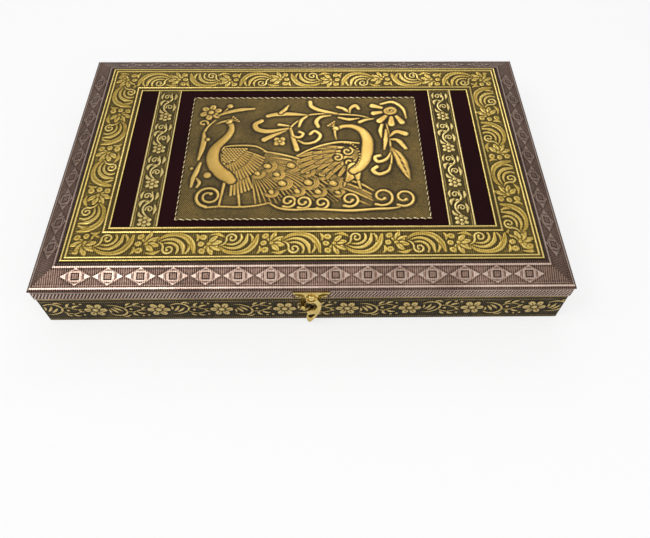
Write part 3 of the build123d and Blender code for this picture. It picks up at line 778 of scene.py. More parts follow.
@dataclass(frozen=True)
class Fibreboard:
    """Pressed brown board with fine fibres and darker flecks."""

    name: str
    body: Colour
    fleck: Colour
    rough: Span = (0.7, 0.9)
    bump: float = 0.0002

    def material(self) -> Material:
        """Build the finish."""
        board = NodeBoard(self.name)
        threads = board.noise(900.0, 4.0, board.place(0.25, 1.0, 2.0))
        cloud = board.math("MULTIPLY_ADD", board.noise(30.0, 2.0), 0.4, -0.3)
        share = board.math("MULTIPLY_ADD", threads, 1.1, cloud, clamp=True)
        return board.finish(
            Base_Color=board.ramp(share, [(0.25, self.fleck), (0.7, self.body)]),
            Roughness=board.spread(threads, *self.rough),
            Normal=board.bump(threads, self.bump),
        )


# Each chased metal runs from hollow to crest: the hollow colour is partly dark lacquer and partly painted
# shade, and the crest colour partly rubbed metal and partly painted highlight.
GOLD = ChasedMetal(
    "border_gold", srgb(68, 55, 20), srgb(118, 100, 50), srgb(192, 160, 70), srgb(218, 196, 124),
    hatch=Hatch.RIBS, pitch=1.5, relief_share=0.5, painted_rim_light_share=0.8, hatch_share=0.3, lift=-0.26,
)
STRIP_GOLD = ChasedMetal(
    "strip_gold", srgb(54, 44, 18), srgb(100, 87, 48), srgb(178, 150, 80), srgb(212, 192, 130),
    relief_share=0.5, painted_rim_light_share=0.8, hatch_share=0.3, lift=-0.26,
)
PLAQUE_GOLD = ChasedMetal(
    "plaque_gold", srgb(48, 37, 17), srgb(98, 84, 50), srgb(184, 147, 72), srgb(208, 178, 104),
    pitch=1.7, relief_share=0.6, painted_rim_light_share=0.8, hatch_share=0.44, lift=-0.33,
)
COPPER = ChasedMetal(
    "bevel_copper", srgb(42, 29, 23), srgb(108, 84, 72), srgb(156, 129, 114), srgb(218, 197, 182),
    hatch=Hatch.RIBS, pitch=1.5, relief_share=0.3, painted_rim_light_share=0.8, hatch_share=0.4, lift=-0.2,
)
ANTIQUE = ChasedMetal(
    "base_antique_gold", srgb(28, 21, 10), srgb(76, 64, 36), srgb(172, 146, 84), srgb(218, 194, 132),
    hatch=Hatch.RIBS, pitch=1.5, relief_share=0.6, painted_rim_light_share=0.75, hatch_share=0.26, lift=-0.26,
    rough=(0.6, 0.36),
)
# The rope's pale colour is painted highlight and its dark colour painted shade, for the lit and shaded turns
# of the twist.
ROPE_GOLD = TwistedGold("rope_pale_gold", srgb(246, 226, 178), srgb(70, 52, 28))
BRASS = CastBrass("latch_brass", srgb(234, 210, 136), srgb(214, 184, 104))
AGED_BRASS = CastBrass("aged_brass", srgb(124, 100, 34), srgb(92, 70, 22), rough=(0.2, 0.4))
HINGE_BRASS = CastBrass("hinge_brass", srgb(206, 172, 98), srgb(160, 128, 66), rough=(0.24, 0.42))
MAROON_VELVET = Velvet("maroon_velvet", srgb(21, 3, 5), srgb(43, 8, 13), srgb(104, 28, 36))
BOARD = Fibreboard("fibreboard", srgb(150, 116, 80), srgb(104, 76, 50))
DARK_BOARD = Fibreboard("stained_board", srgb(58, 34, 24), srgb(36, 20, 14))


class Slot(Enum):
    """The record's slots, which the finishes belong to."""

    ANTIQUE = "antique_sheet"
    COPPER = "copper_sheet"
    GOLD = "gold_sheet"
    ROPE = "rope_edging"
    VELVET = "velvet"
    BRASS = "brass"


def dress(piece: Piece, material: Material) -> None:
    """Give a piece its one material."""
    piece.data.materials.clear()
    piece.data.materials.append(material)


def settle(piece: Piece, body: str, slot: Slot, material: Material, *nodes: str) -> None:
    """Dress a piece, hang it on the empty of the body that it moves with, and hide the solids that it stands
    for.

    Args:
        piece: the piece, in place.
        body: the body that it moves with.
        slot: the slot that its finish belongs to; not used.
        material: its finish.
        nodes: the solids that it replaces.
    """
    dress(piece, material)
    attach(piece, body)
    if nodes:
        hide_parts(*nodes)
    log.info("%s rides on %s: %d faces", piece.name, body, len(piece.data.polygons))


# Geometry Nodes


class NodeMaker(NodeTree):
    """A geometry tree with named inputs, whose result is baked to a plain mesh."""

    def __init__(self, name: str, **inputs: str) -> None:
        """Start a tree that takes and gives geometry.

        Args:
            name: the tree's name.
            inputs: its other inputs and their kinds, such as Float or Int; an underscore stands for a space.
        """
        super().__init__(bpy.data.node_groups.new(name, "GeometryNodeTree"), "GeometryNode")
        sockets = self.tree.interface
        for way in ("INPUT", "OUTPUT"):
            sockets.new_socket("Geometry", in_out=way, socket_type="NodeSocketGeometry")
        self.inlet = self.tree.nodes.new("NodeGroupInput")
        self.identifiers: dict[str, str] = {}
        for key, kind in (*inputs.items(), ("Finish", "Material")):
            label = key.replace("_", " ")
            socket = sockets.new_socket(label, in_out="INPUT", socket_type="NodeSocket" + kind)
            self.identifiers[label] = socket.identifier

    def __getitem__(self, name: str) -> Socket:
        """The socket of a named input."""
        return self.inlet.outputs[name]

    def vector(self, operation: str, first: object, second: object) -> Socket:
        """The result of one vector sum; a scaling takes a number as its second value."""
        inputs = {0: first, "Scale" if operation == "SCALE" else 1: second}
        return self.add("VectorMath", inputs, "ShaderNode", operation=operation).outputs["Vector"]

    def close(self, geometry: Socket) -> None:
        """End the tree: smooth faces, real geometry and the finish."""
        smooth = self.add("SetShadeSmooth", {0: geometry, "Shade Smooth": True})
        real = self.add("RealizeInstances", {0: smooth.outputs[0]})
        dressed = self.add("SetMaterial", {0: real.outputs[0], "Material": self["Finish"]})
        outlet = self.tree.nodes.new("NodeGroupOutput")
        self.tree.links.new(dressed.outputs[0], outlet.inputs[0])

    def bake(self, name: str, guide: Piece, sharp: float, **values: object) -> Piece:
        """Run the tree over a guide and keep the result as a plain mesh.

        Args:
            name: the finished piece's name.
            guide: the object that the tree starts from, which is deleted.
            sharp: angle past which an edge stays crisp, in degrees.
            values: the inputs; an underscore stands for a space.

        Returns:
            The piece.
        """
        modifier = guide.modifiers.new(name, "NODES")
        modifier.node_group = self.tree
        for key, value in values.items():
            modifier[self.identifiers[key.replace("_", " ")]] = value
        graph = bpy.context.evaluated_depsgraph_get()
        mesh = bpy.data.meshes.new_from_object(guide.evaluated_get(graph))
        mesh.name = name
        mesh.shade_smooth()
        mesh.set_sharp_from_angle(angle=math.radians(sharp))
        guide.modifiers.remove(modifier)
        bpy.data.objects.remove(guide)
        return new_object(name, mesh)


def guide_loop(points: Array) -> Piece:
    """A closed line of edges for a tree to follow."""
    mesh = bpy.data.meshes.new("guide")
    count = len(points)
    edges = [(i, (i + 1) % count) for i in range(count)]
    mesh.from_pydata([tuple(v * MM for v in p) for p in points], edges, [])
    return new_object("guide", mesh)


@dataclass
class TwistedEdging:
    """Strands laid round each other along a closed line of edges."""

    strands: int
    strand_width: float
    lay_width: float
    pitch: float
    steps: int
    sides: int
    maker: NodeMaker = field(init=False)

    def __post_init__(self) -> None:
        """Build the tree once."""
        made = NodeMaker(
            "twisted_edging", Pitch="Float", Step="Float", Lay_Radius="Float", Strand_Radius="Float",
            Strands="Int", Sides="Int",
        )
        line = made.add("MeshToCurve", {0: made["Geometry"]})
        upright = made.add("SetCurveNormal", {0: line.outputs[0]}, mode="Z_UP")
        fine = made.add("ResampleCurve", {0: upright.outputs[0], "Length": made["Step"]}, mode="LENGTH")
        laid = {0: fine.outputs[0], "Amount": made["Strands"]}
        copies = made.add("DuplicateElements", laid, domain="SPLINE")
        strand = copies.outputs["Duplicate Index"]
        travelled = made.add("SplineParameter").outputs["Length"]
        turns = made.math("DIVIDE", travelled, made["Pitch"])
        share = made.math("DIVIDE", strand, made["Strands"])
        angle = made.math("MULTIPLY", made.math("ADD", turns, share), math.tau)
        normal = made.add("InputNormal").outputs[0]
        tangent = made.add("InputTangent").outputs[0]
        other = made.vector("CROSS_PRODUCT", tangent, normal)
        side = made.vector("SCALE", normal, made.math("COSINE", angle))
        rise = made.vector("SCALE", other, made.math("SINE", angle))
        offset = made.vector("SCALE", made.vector("ADD", side, rise), made["Lay Radius"])
        moved = made.add("SetPosition", {0: copies.outputs[0], "Offset": offset})
        circle_size = {"Radius": made["Strand Radius"], "Resolution": made["Sides"]}
        ring = made.add("CurvePrimitiveCircle", circle_size)
        mark = {0: moved.outputs[0], "Name": "strand", "Value": strand}
        told = made.add("StoreNamedAttribute", mark, data_type="FLOAT", domain="POINT")
        tube = made.add("CurveToMesh", {0: told.outputs[0], 1: ring.outputs[0]})
        made.close(tube.outputs[0])
        self.maker = made

    def around(self, name: str, corners: Array, finish: Material) -> Piece:
        """Lay the edging round a closed line, with a whole number of turns.

        Args:
            name: the piece's name.
            corners: the corners in order, one a row.
            finish: its material.

        Returns:
            The piece.
        """
        girth = np.linalg.norm(np.roll(corners, -1, axis=0) - corners, axis=1).sum()
        pitch = girth / round(girth / self.pitch) * MM
        return self.maker.bake(
            name, guide_loop(corners), CRISP_ROPE, Pitch=pitch, Step=pitch / self.steps,
            Lay_Radius=self.lay_width / 2 * MM, Strand_Radius=self.strand_width / 2 * MM,
            Strands=self.strands, Sides=self.sides, Finish=finish,
        )


@dataclass
class StudRow:
    """Copies of one stud at even spaces along a straight line."""

    maker: NodeMaker = field(init=False)

    def __post_init__(self) -> None:
        """Build the tree once."""
        made = NodeMaker("stud_row", Count="Int", Start="Vector", Step="Vector")
        spaces = {"Count": made["Count"], "Start Location": made["Start"], "Offset": made["Step"]}
        line = made.add("MeshLine", spaces)
        copies = made.add("InstanceOnPoints", {"Points": line.outputs[0], "Instance": made["Geometry"]})
        made.close(copies.outputs[0])
        self.maker = made

    def along(
        self, name: str, stud: Piece, start: Array, step: Array, count: int,
        finish: Material,
    ) -> Piece:
        """Set the studs.

        Args:
            name: the piece's name.
            stud: one stud about the origin, already turned, which is used up.
            start: place of the first stud.
            step: from one stud to the next.
            count: how many there are.
            finish: their material.

        Returns:
            The piece.
        """
        first, pace = ([float(v) * MM for v in vector] for vector in (start, step))
        return self.maker.bake(name, stud, CRISP_STUD, Count=count, Start=first, Step=pace, Finish=finish)


# Flat shapes and turned shapes


def outline_solid(outlines: Sequence[Array], thickness: float, ease: float) -> Mesh:
    """Cut a plate with rounded edges from closed outlines, holes among them, in millimetres.

    Args:
        outlines: each a closed line of points, the first one the outside.
        thickness: how thick the plate is, from 0 upwards along the third axis.
        ease: radius of its edges.

    Returns:
        The mesh, in metres.
    """
    curve = bpy.data.curves.new("outline", "CURVE")
    curve.dimensions = "2D"
    curve.fill_mode = "BOTH"
    curve.extrude = (thickness / 2 - ease) * MM
    curve.bevel_depth = ease * MM
    curve.bevel_resolution = 3
    curve.offset = -ease * MM
    for points in outlines:
        spline = curve.splines.new("POLY")
        spline.points.add(len(points) - 1)
        for knot, (x, y) in zip(spline.points, points):
            knot.co = (x * MM, y * MM, 0, 1)
        spline.use_cyclic_u = True
    holder = bpy.data.objects.new("outline", curve)
    bpy.context.scene.collection.objects.link(holder)
    graph = bpy.context.evaluated_depsgraph_get()
    mesh = bpy.data.meshes.new_from_object(holder.evaluated_get(graph))
    bpy.data.objects.remove(holder)
    bpy.data.curves.remove(curve)
    for vertex in mesh.vertices:
        vertex.co.z += thickness / 2 * MM
    return mesh


def resampled(points: Sequence[Point], step: float = 0.35) -> Array:
    """Even points along a closed line of corners."""
    p = np.array([*points, points[0]], float)
    run = np.concatenate([[0], np.cumsum(np.hypot(*np.diff(p, axis=0).T))])
    even = np.linspace(0, run[-1], int(run[-1] / step), endpoint=False)
    return np.stack([np.interp(even, run, p[:, 0]), np.interp(even, run, p[:, 1])], axis=1)


def circle(radius: float, count: int) -> Array:
    """Points of a circle round the origin."""
    a = np.linspace(0, math.tau, count, endpoint=False)
    return np.stack([radius * np.cos(a), radius * np.sin(a)], axis=1)


def facing(mesh: Mesh, origin: Array, right: Array, up: Array) -> Array:
    """Stand a flat mesh on a face of the box.

    Args:
        mesh: a mesh drawn in the first two axes, in metres.
        origin: where its origin goes, in millimetres.
        right: the way that its first axis goes.
        up: the way that its second axis goes.

    Returns:
        Its vertices in place, in millimetres.
    """
    flat = np.empty(len(mesh.vertices) * 3, np.float32)
    mesh.vertices.foreach_get("co", flat)
    local = flat.reshape(-1, 3) / MM
    normal = np.cross(right, up)
    return origin + local[:, :1] * right + local[:, 1:2] * up + local[:, 2:] * normal


def gather(name: str, parts: Sequence[tuple[Mesh, Array]]) -> Piece:
    """Join placed meshes into one piece.

    Args:
        name: the piece's name.
        parts: each a mesh and its vertices in place.

    Returns:
        The piece.
    """
    vertices: list[Place] = []
    faces: list[tuple[int, ...]] = []
    for mesh, places in parts:
        start = len(vertices)
        vertices += [tuple(p) for p in (places * MM).tolist()]
        faces += [tuple(start + i for i in polygon.vertices) for polygon in mesh.polygons]
        bpy.data.meshes.remove(mesh)
    joined = bpy.data.meshes.new(name)
    joined.from_pydata(vertices, [], faces)
    joined.shade_smooth()
    joined.set_sharp_from_angle(angle=math.radians(CRISP_LATCH))
    return new_object(name, joined)


def turned(profile: Sequence[Point], sides: int = 28) -> Mesh:
    """Turn a profile of (radius, height) about the third axis, closed at both ends, in metres."""
    angles = np.linspace(0, math.tau, sides, endpoint=False)
    vertices = [(0.0, 0.0, profile[0][1] * MM)]
    for radius, height in profile:
        vertices += [(radius * math.cos(a) * MM, radius * math.sin(a) * MM, height * MM) for a in angles]
    vertices.append((0.0, 0.0, profile[-1][1] * MM))
    faces: list[tuple[int, ...]] = []
    for k in range(sides):
        n = (k + 1) % sides
        faces.append((0, 1 + n, 1 + k))
        for row in range(len(profile) - 1):
            a, b = 1 + row * sides, 1 + (row + 1) * sides
            faces.append((a + k, a + n, b + n, b + k))
        top = 1 + (len(profile) - 1) * sides
        faces.append((top + k, top + n, len(vertices) - 1))
    mesh = bpy.data.meshes.new("turned")
    mesh.from_pydata(vertices, [], faces)
    return mesh


def dome(radius: float, height: float, base: float = 0.0, steps: int = 5) -> list[Point]:
    """Profile of a low dome that ends near its axis."""
    quarter = [math.pi / 2 * k / steps for k in range(steps)]
    return [(radius * math.cos(a), base + height * math.sin(a)) for a in quarter] + [(0.05, base + height)]


# The metal sheets


def beat_flat(sheet: Canvas, side: Side, floor: float, *nodes: str) -> None:
    """Clear the relief of an upright sheet under the solids that lie on it.

    Args:
        sheet: the canvas of the sheet.
        side: its side of the box, front or back.
        floor: height of its lower edge.
        nodes: the solids.
    """
    for node in nodes:
        low, high = extent(node)
        left, right = sorted((-side.outward[1] * low[0], -side.outward[1] * high[0]))
        foot, top = low[2] - floor, high[2] - floor
        sheet.clear(left - CLEAR_MARGIN, right + CLEAR_MARGIN, foot - CLEAR_MARGIN, top + CLEAR_MARGIN)


@dataclass
class GoldBorder:
    """The four strips of gold sheet round the lid: scrolls and flowers between raised lines."""

    pitch: float = 44.5
    overlap: float = 9.0
    field_width: float = 20.0
    field_start: float = 4.7
    ground_rise: float = 0.9
    line_width: float = 1.35
    line_rise: float = 0.8
    deck_gap: float = 0.05
    spray: Point = (-1.2, 10.2)

    def unit(self) -> Canvas:
        """One length of the ornament: a flower spray, then an arched leaf over fronds and a curl."""
        tile = Canvas(-self.overlap, 0, self.pitch + 2 * self.overlap, self.field_width)
        for degrees, reach, width in (
            (108, 8.8, 4.2), (70, 9.6, 5.2), (30, 9.6, 5.8), (-10, 8.8, 5.6), (-48, 8.4, 4.8),
        ):
            ends = [polar(*self.spray, math.radians(degrees), out) for out in (2.0, reach)]
            tile.stroke(ends, (width * 0.5, width, width * 0.55), 0.74, Profile.LEAF, 0.5)
        for x, y, size in ((-5.2, 16.4, 5.0), (-6.4, 10.2, 4.6), (-5.2, 4.2, 5.2), (-0.6, 10.2, 3.0)):
            tile.stroke([(x, y), (x + 0.6, y + 0.2)], (size, size), 0.68, Profile.BOWL, 0.4)
        for path, widths, height, profile in (
            ([(0.4, 2.2), (5.4, 1.6), (10.6, 4.2)], (1.0, 3.4, 0.8), 0.6, Profile.LEAF),
            ([(7.0, 13.0), (13.0, 17.2), (21.0, 18.2), (28.0, 15.4), (32.4, 9.0), (34.2, 2.4)],
             (1.4, 3.2, 3.6, 5.0, 5.2, 2.0), 0.78, Profile.BOWL),
            ([(9.4, 12.4), (15.0, 14.2), (20.8, 13.2), (25.4, 8.6), (26.8, 1.8)],
             (0.9, 2.4, 3.0, 3.6, 1.8), 0.7, Profile.LEAF),
            ([(11.6, 10.4), (17.0, 10.8), (21.0, 8.6), (22.6, 5.0), (21.8, 1.6)],
             (0.8, 2.0, 2.4, 2.4, 1.4), 0.62, Profile.LEAF),
            ([(28.6, 1.8), (30.4, 5.4), (29.8, 9.2)], (1.6, 2.4, 0.8), 0.6, Profile.LEAF),
            ([(7.4, 12.0), (10.6, 10.0), (12.0, 7.0)], (0.8, 1.6, 2.0), 0.6, Profile.ROUND),
            ([(34.4, 18.6), (36.2, 15.8), (35.6, 12.6)], (1.0, 3.0, 1.2), 0.6, Profile.LEAF),
        ):
            tile.stroke(path, widths, height, profile, 0.45)
        tile.spiral(15.8, 5.2, 4.2, 155, 430, 2.0, 0.68)
        return tile

    def canvas(self, run: float, width: float) -> Canvas:
        """Heights of one strip by distance along it and in from its edge; run is half its length."""
        sheet = Canvas(-run, 0, 2 * run, width)
        tile = self.unit()
        count = int(2 * run / self.pitch) + 2
        start = -count * self.pitch / 2
        for index in range(count):
            corner = start + index * self.pitch - self.overlap
            sheet.stamp(tile, corner, self.field_start, turned_over=index % 2 == 1)
        for place in (0.75, 3.35, width - 0.75, width - 4.5):
            sheet.band(place, self.line_width, self.line_rise)
        return sheet

    def build(self) -> None:
        """Make the four strips."""
        material = GOLD.material()
        for side in SIDES:
            node = f"border_{side.name}"
            outer, inner = side.insets(node)
            ground = extent(node)[0][2] + self.ground_rise
            canvas = self.canvas(side.run - outer, inner - outer)
            thickness = self.ground_rise - self.deck_gap
            sheet = BentSheet(side, [(outer, ground), (inner, ground)], thickness, canvas)
            settle(sheet.build(f"chased_border_{side.name}"), "lid", Slot.GOLD, material, node)


@dataclass
class CopperBevel:
    """Copper sheet over the lip, nose and bevel of the lid, with a row of lozenges on the bevel."""

    lozenge_pitch: float = 22.5
    lozenge_wide: float = 11.15
    lozenge_tall: float = 6.9
    lozenge_rise: float = 0.12
    lozenge_ease: float = 0.5
    rim_rise: float = 0.12
    rim_place: float = 0.55
    rim_width: float = 0.4
    trench_depth: float = 0.34
    trench_width: float = 0.35
    stud_seat: float = 0.9
    corner_margin: float = 8.0
    bevel_width: float = 19.0
    thickness: float = 0.45
    sunk_edge: float = 1.5
    sunk_depth: float = 0.25
    twist_pitch: float = 2.4
    twist_lean: float = 1.5
    twist_low: float = 1.9
    twist_high: float = 6.8
    twist_width: float = 1.2
    twist_rise: float = 0.36

    def __post_init__(self) -> None:
        """Draw the section: (inset, height) points of the outer face, from the seam to the border."""
        self.seam = float(extent("copper_front_sheet")[0][2])
        self.section = [(inset, self.seam + up) for inset, up in (
            (1.0, 0.0), (1.0, 9.7), (0.35, 9.95), (0.04, 10.4), (0.04, 11.35), (0.35, 11.8), (0.95, 12.05),
            (18.83, 18.47),
        )]
        lengths = np.hypot(*np.diff(np.array(self.section), axis=0).T)
        self.girth, self.bevel_start = float(lengths.sum()), float(lengths[:-1].sum())

    def rows(self, run: float) -> list[float]:
        """Places of the lozenges along one side."""
        middle = run - self.bevel_width / 2
        count = int((2 * middle - self.corner_margin) / self.lozenge_pitch)
        return [(index - (count - 1) / 2) * self.lozenge_pitch for index in range(count)]

    def lozenge(self, sheet: Canvas, x: float, y: float) -> None:
        """Raise a diamond with a low rim and a trench pressed along its outline."""
        wide, tall = self.lozenge_wide, self.lozenge_tall
        reach = np.array([wide + 2, tall + 2])
        centre = np.array([x, y])
        rows, columns = sheet.window(centre - reach, centre + reach)
        across = np.abs(sheet.xs[columns][None, :] - x) / wide
        upward = np.abs(sheet.ys[rows][:, None] - y) / tall
        inward = (1 - across - upward) * wide * tall / math.hypot(wide, tall)
        plate = self.lozenge_rise * np.clip(inward / self.lozenge_ease, 0, 1)
        rim = self.rim_rise * np.exp(-(((inward - self.rim_place) / self.rim_width) ** 2))
        groove = self.trench_depth * np.exp(-((inward / self.trench_width) ** 2))
        sheet.height[rows, columns] = np.maximum(sheet.height[rows, columns], plate + rim) - groove

    def canvas(self, side: Side) -> Canvas:
        """Heights by distance along the side and girth up its section."""
        sheet = Canvas(-side.run, 0, 2 * side.run, self.girth)
        middle = (self.bevel_start + self.girth) / 2
        for x in self.rows(side.run):
            self.lozenge(sheet, x, middle)
        for place, width, height in (
            (0.7, 1.2, 0.3), (8.0, 0.9, 0.3), (self.bevel_start + 1.1, 1.6, 0.34),
            (self.bevel_start + 2.9, 0.6, 0.2), (self.girth - 2.5, 1.2, 0.3),
        ):
            sheet.band(place, width, height)
        for index in range(int(2 * side.run / self.twist_pitch)):
            x = (index + 0.5) * self.twist_pitch - side.run
            foot, top = (x - self.twist_lean, self.twist_low), (x + self.twist_lean, self.twist_high)
            sheet.line(foot, top, self.twist_width, self.twist_rise)
        if side.name == "front":
            beat_flat(sheet, side, self.seam, "latch_plate")
        if side.name == "back":
            beat_flat(sheet, side, self.seam, "left_hinge_lid_leaf", "right_hinge_lid_leaf")
        # The strip under the border is sunk, so the finish paints it its darkest colour: painted shade of the
        # gap under the gold border.
        sheet.height[sheet.ys > self.girth - self.sunk_edge] = -self.sunk_depth
        return sheet

    def stud(self, side: Side) -> Piece:
        """One lozenge's square, frame and four small triangles about the origin, turned to a side."""
        octagon = (
            (-4.9, -2.7), (-3.7, -4.1), (3.7, -4.1), (4.9, -2.7),
            (4.9, 2.7), (3.7, 4.1), (-3.7, 4.1), (-4.9, 2.7),
        )
        # The last two numbers of a plate are how raised and how proud its top reads to the finish: painted
        # highlight on the frame and the triangles, the darkest colour on the thin square round the centre.
        plates = (
            (octagon, 0.3, 0.93, 0.8, 0.76),
            (((-2.9, -2.7), (2.9, -2.7), (2.9, 2.7), (-2.9, 2.7)), 0.32, 1.0, 0.0, 0.0),
            (((-2.3, -2.1), (2.3, -2.1), (2.3, 2.1), (-2.3, 2.1)), 0.42, 0.85, 0.5, 0.5),
            (((-6.2, -2.4), (-6.2, 2.4), (-11.0, 0)), 0.26, 0.84, 0.9, 0.85),
            (((6.2, -2.4), (11.0, 0), (6.2, 2.4)), 0.26, 0.84, 0.9, 0.85),
            (((-2.2, 5.0), (2.2, 5.0), (0, 6.7)), 0.24, 0.8, 0.9, 0.8),
            (((-2.2, -5.0), (0, -6.7), (2.2, -5.0)), 0.24, 0.8, 0.9, 0.8),
        )
        vertices, faces, shine = [], [], []
        for corners, rise, taper, relief, edge in plates:
            points = np.array(corners, float)
            centre = points.mean(axis=0)
            start, count = len(vertices), len(points)
            for height, scale in ((-0.15, 1.0), (0.0, 1.0), (rise, taper)):
                vertices += [(*p, height) for p in centre + (points - centre) * scale]
                # Tops take the plate's values; sides and feet get none, so the sides darken to their feet as
                # painted shade.
                shine += [(relief, edge) if height > 0 else (0.0, 0.0)] * count
            for k in range(count):
                n = (k + 1) % count
                for level in (start, start + count):
                    faces.append(np.array([level + k, level + n, level + count + n, level + count + k]))
            faces.append(np.arange(start + 2 * count, start + 3 * count))
            faces.append(np.arange(start + count - 1, start - 1, -1))
        along, slope, normal = self.axes(side)
        local = np.array(vertices)
        placed = local[:, :1] * along + local[:, 1:2] * slope + local[:, 2:] * normal
        relief_mark, painted_rim_light_mark = np.array(shine).T
        marks = {"relief": relief_mark, "edge": painted_rim_light_mark, "sheet": local * (1, 1, 0)}
        return build_mesh("stud", placed, faces, marks, CRISP_PLATE)

    def axes(self, side: Side) -> tuple[Array, Array, Array]:
        """Unit vectors along the side, up the bevel and out of it."""
        (i0, h0), (i1, h1) = self.section[-2:]
        out = np.array([*side.outward, 0.0])
        slope = out * -(i1 - i0) + np.array([0, 0, h1 - h0])
        slope /= np.linalg.norm(slope)
        along = np.array([-side.outward[1], side.outward[0], 0.0])
        return along, slope, np.cross(along, slope)

    def build(self) -> None:
        """Make the sheets and their studs."""
        material = COPPER.material()
        studs = StudRow()
        middle = np.mean(np.array(self.section[-2:]), axis=0)
        for side in SIDES:
            piece = BentSheet(side, self.section, self.thickness, self.canvas(side)).build(
                f"chased_copper_{side.name}"
            )
            settle(piece, "lid", Slot.COPPER, material, f"copper_{side.name}_sheet")
            places = self.rows(side.run)
            along, _, normal = self.axes(side)
            seat = side.place(np.array(0.0), middle[0], middle[1])
            first = seat + normal * self.lozenge_rise * self.stud_seat + along * places[0]
            row = studs.along(
                f"lozenge_studs_{side.name}", self.stud(side), first, along * self.lozenge_pitch,
                len(places), material,
            )
            settle(row, "lid", Slot.COPPER, material)


@dataclass
class BaseSheets:
    """Antique gold sheet round the base: flowers with scrolls between them."""

    pitch: float = 45.5
    first_flower: float = -14.1
    flower_size: float = 8.7
    flower_rise: float = 0.7
    petals: int = 6
    field_start: float = 4.4
    field_width: float = 20.0
    face_over_wall: float = 0.5
    corner_margin: float = 1.6
    thickness: float = 0.45
    scroll_length: float = 30.0

    def scroll(self) -> Canvas:
        """The scroll and its leaf sprigs, between two flowers."""
        tile = Canvas(0, 0, self.scroll_length, self.field_width)
        for path, widths, height in (
            ([(1.4, 15.8), (6.0, 18.0), (11.4, 17.0), (14.2, 12.6), (12.2, 7.6), (7.0, 4.4), (1.6, 3.8)],
             (0.8, 1.5, 1.8, 1.8, 1.6, 1.3, 0.6), 0.62),
            ([(12.6, 8.4), (16.4, 5.4), (21.0, 4.6), (26.0, 6.6)], (0.8, 1.2, 1.2, 0.7), 0.5),
            ([(14.4, 12.8), (19.4, 13.2), (23.4, 10.8), (28.6, 10.6)], (0.9, 1.2, 1.2, 0.7), 0.5),
        ):
            tile.stroke(path, widths, height, moat=0.3)
        for points, width in (
            ([(2.8, 7.6), (5.8, 11.2), (7.4, 15.2)], 2.6), ([(4.8, 6.2), (8.4, 9.2), (11.2, 12.8)], 2.6),
            ([(1.6, 9.2), (2.4, 12.0), (1.8, 14.8)], 1.9), ([(14.8, 5.4), (16.2, 2.6), (19.2, 1.2)], 2.3),
            ([(19.6, 4.6), (22.0, 2.0), (25.4, 1.6)], 2.3), ([(18.2, 13.2), (18.8, 16.4), (21.4, 18.8)], 2.4),
            ([(20.8, 12.4), (24.0, 15.0), (27.8, 15.4)], 2.5),
            ([(24.8, 10.6), (26.8, 7.8), (29.2, 6.8)], 2.0), ([(8.6, 18.2), (12.4, 19.4), (16.0, 17.2)], 1.9),
        ):
            tile.leaf(points, width, 0.6, 0.25)
        for x, y, size in ((28.8, 17.8, 2.0), (24.6, 18.6, 1.9), (27.4, 3.0, 1.9), (17.6, 9.4, 2.4)):
            tile.bead(x, y, size, 0.6, 0.25)
        return tile

    def canvas(self, run: float, height: float, phase: float) -> Canvas:
        """Heights along a side and up from its lower edge; the phase is where one flower stands."""
        sheet = Canvas(-run, 0, 2 * run, height)
        scroll = self.scroll()
        x = phase - self.pitch * math.ceil((run + phase) / self.pitch)
        turned_over = False
        while x < run + self.pitch:
            middle = self.field_start + self.field_width / 2
            sheet.flower(x, middle, self.flower_size, self.petals, 0.0, self.flower_rise)
            sheet.stamp(scroll, x + (self.pitch - self.scroll_length) / 2, self.field_start, turned_over)
            x += self.pitch
            turned_over = not turned_over
        for place, width, rise in (
            (height - 0.8, 1.1, 0.3), (height - 4.4, 0.7, 0.2), (2.6, 0.8, 0.22), (0.7, 0.9, 0.2),
        ):
            sheet.band(place, width, rise)
        return sheet

    def build(self) -> None:
        """Make the four sheets, beaten flat at the corners, under the hinges and round the peg."""
        material = ANTIQUE.material()
        for side in SIDES:
            node = f"base_{side.name}_sheet"
            foot, top = (corner[2] for corner in extent(node))
            face = side.insets(f"base_{side.name}_wall")[0] - self.face_over_wall
            phase = self.first_flower if side.outward[0] == 0 else 0.0
            canvas = self.canvas(side.run, top - foot, phase)
            to_corner = (side.run - face - np.abs(canvas.xs)) / self.corner_margin
            canvas.height *= np.clip(to_corner, 0.0, 1.0)[None, :]
            if side.name == "front":
                beat_flat(canvas, side, foot, "keeper_peg")
            if side.name == "back":
                beat_flat(canvas, side, foot, "left_hinge_base_leaf", "right_hinge_base_leaf")
            cell = SHEET_CELL if side.name == "front" else SIDE_CELL
            sheet = BentSheet(side, [(face, foot), (face, top)], self.thickness, canvas, cell)
            settle(sheet.build(f"chased_base_{side.name}"), "base", Slot.ANTIQUE, material, node)


@dataclass
class FlatSheet:
    """A rectangle of sheet lying on the lid, its top raised from a canvas that starts at its corner."""

    low: Array
    high: Array
    rise: float
    canvas: Canvas
    lengthwise: bool = False
    cell: float = SHEET_CELL
    headroom: float = 0.24

    def build(self, name: str) -> Piece:
        """Make the closed sheet as a piece of that name."""
        ends = zip(self.low[:2], self.high[:2])
        x, y = np.meshgrid(*(np.linspace(a, b, int(round((b - a) / self.cell)) + 1) for a, b in ends))
        u, v = (y - self.low[1], self.high[0] - x) if self.lengthwise else (x - self.low[0], y - self.low[1])
        height, marks = self.canvas.read(u, v)
        top = np.minimum(self.low[2] + self.rise + height, self.high[2] + self.headroom)
        front = np.stack([x, y, top], axis=-1)
        rim = x[[0, -1]], y[[0, -1]]
        back = np.stack([*rim, np.full(rim[0].shape, self.low[2])], axis=-1)
        return shell(name, front, back, marks)


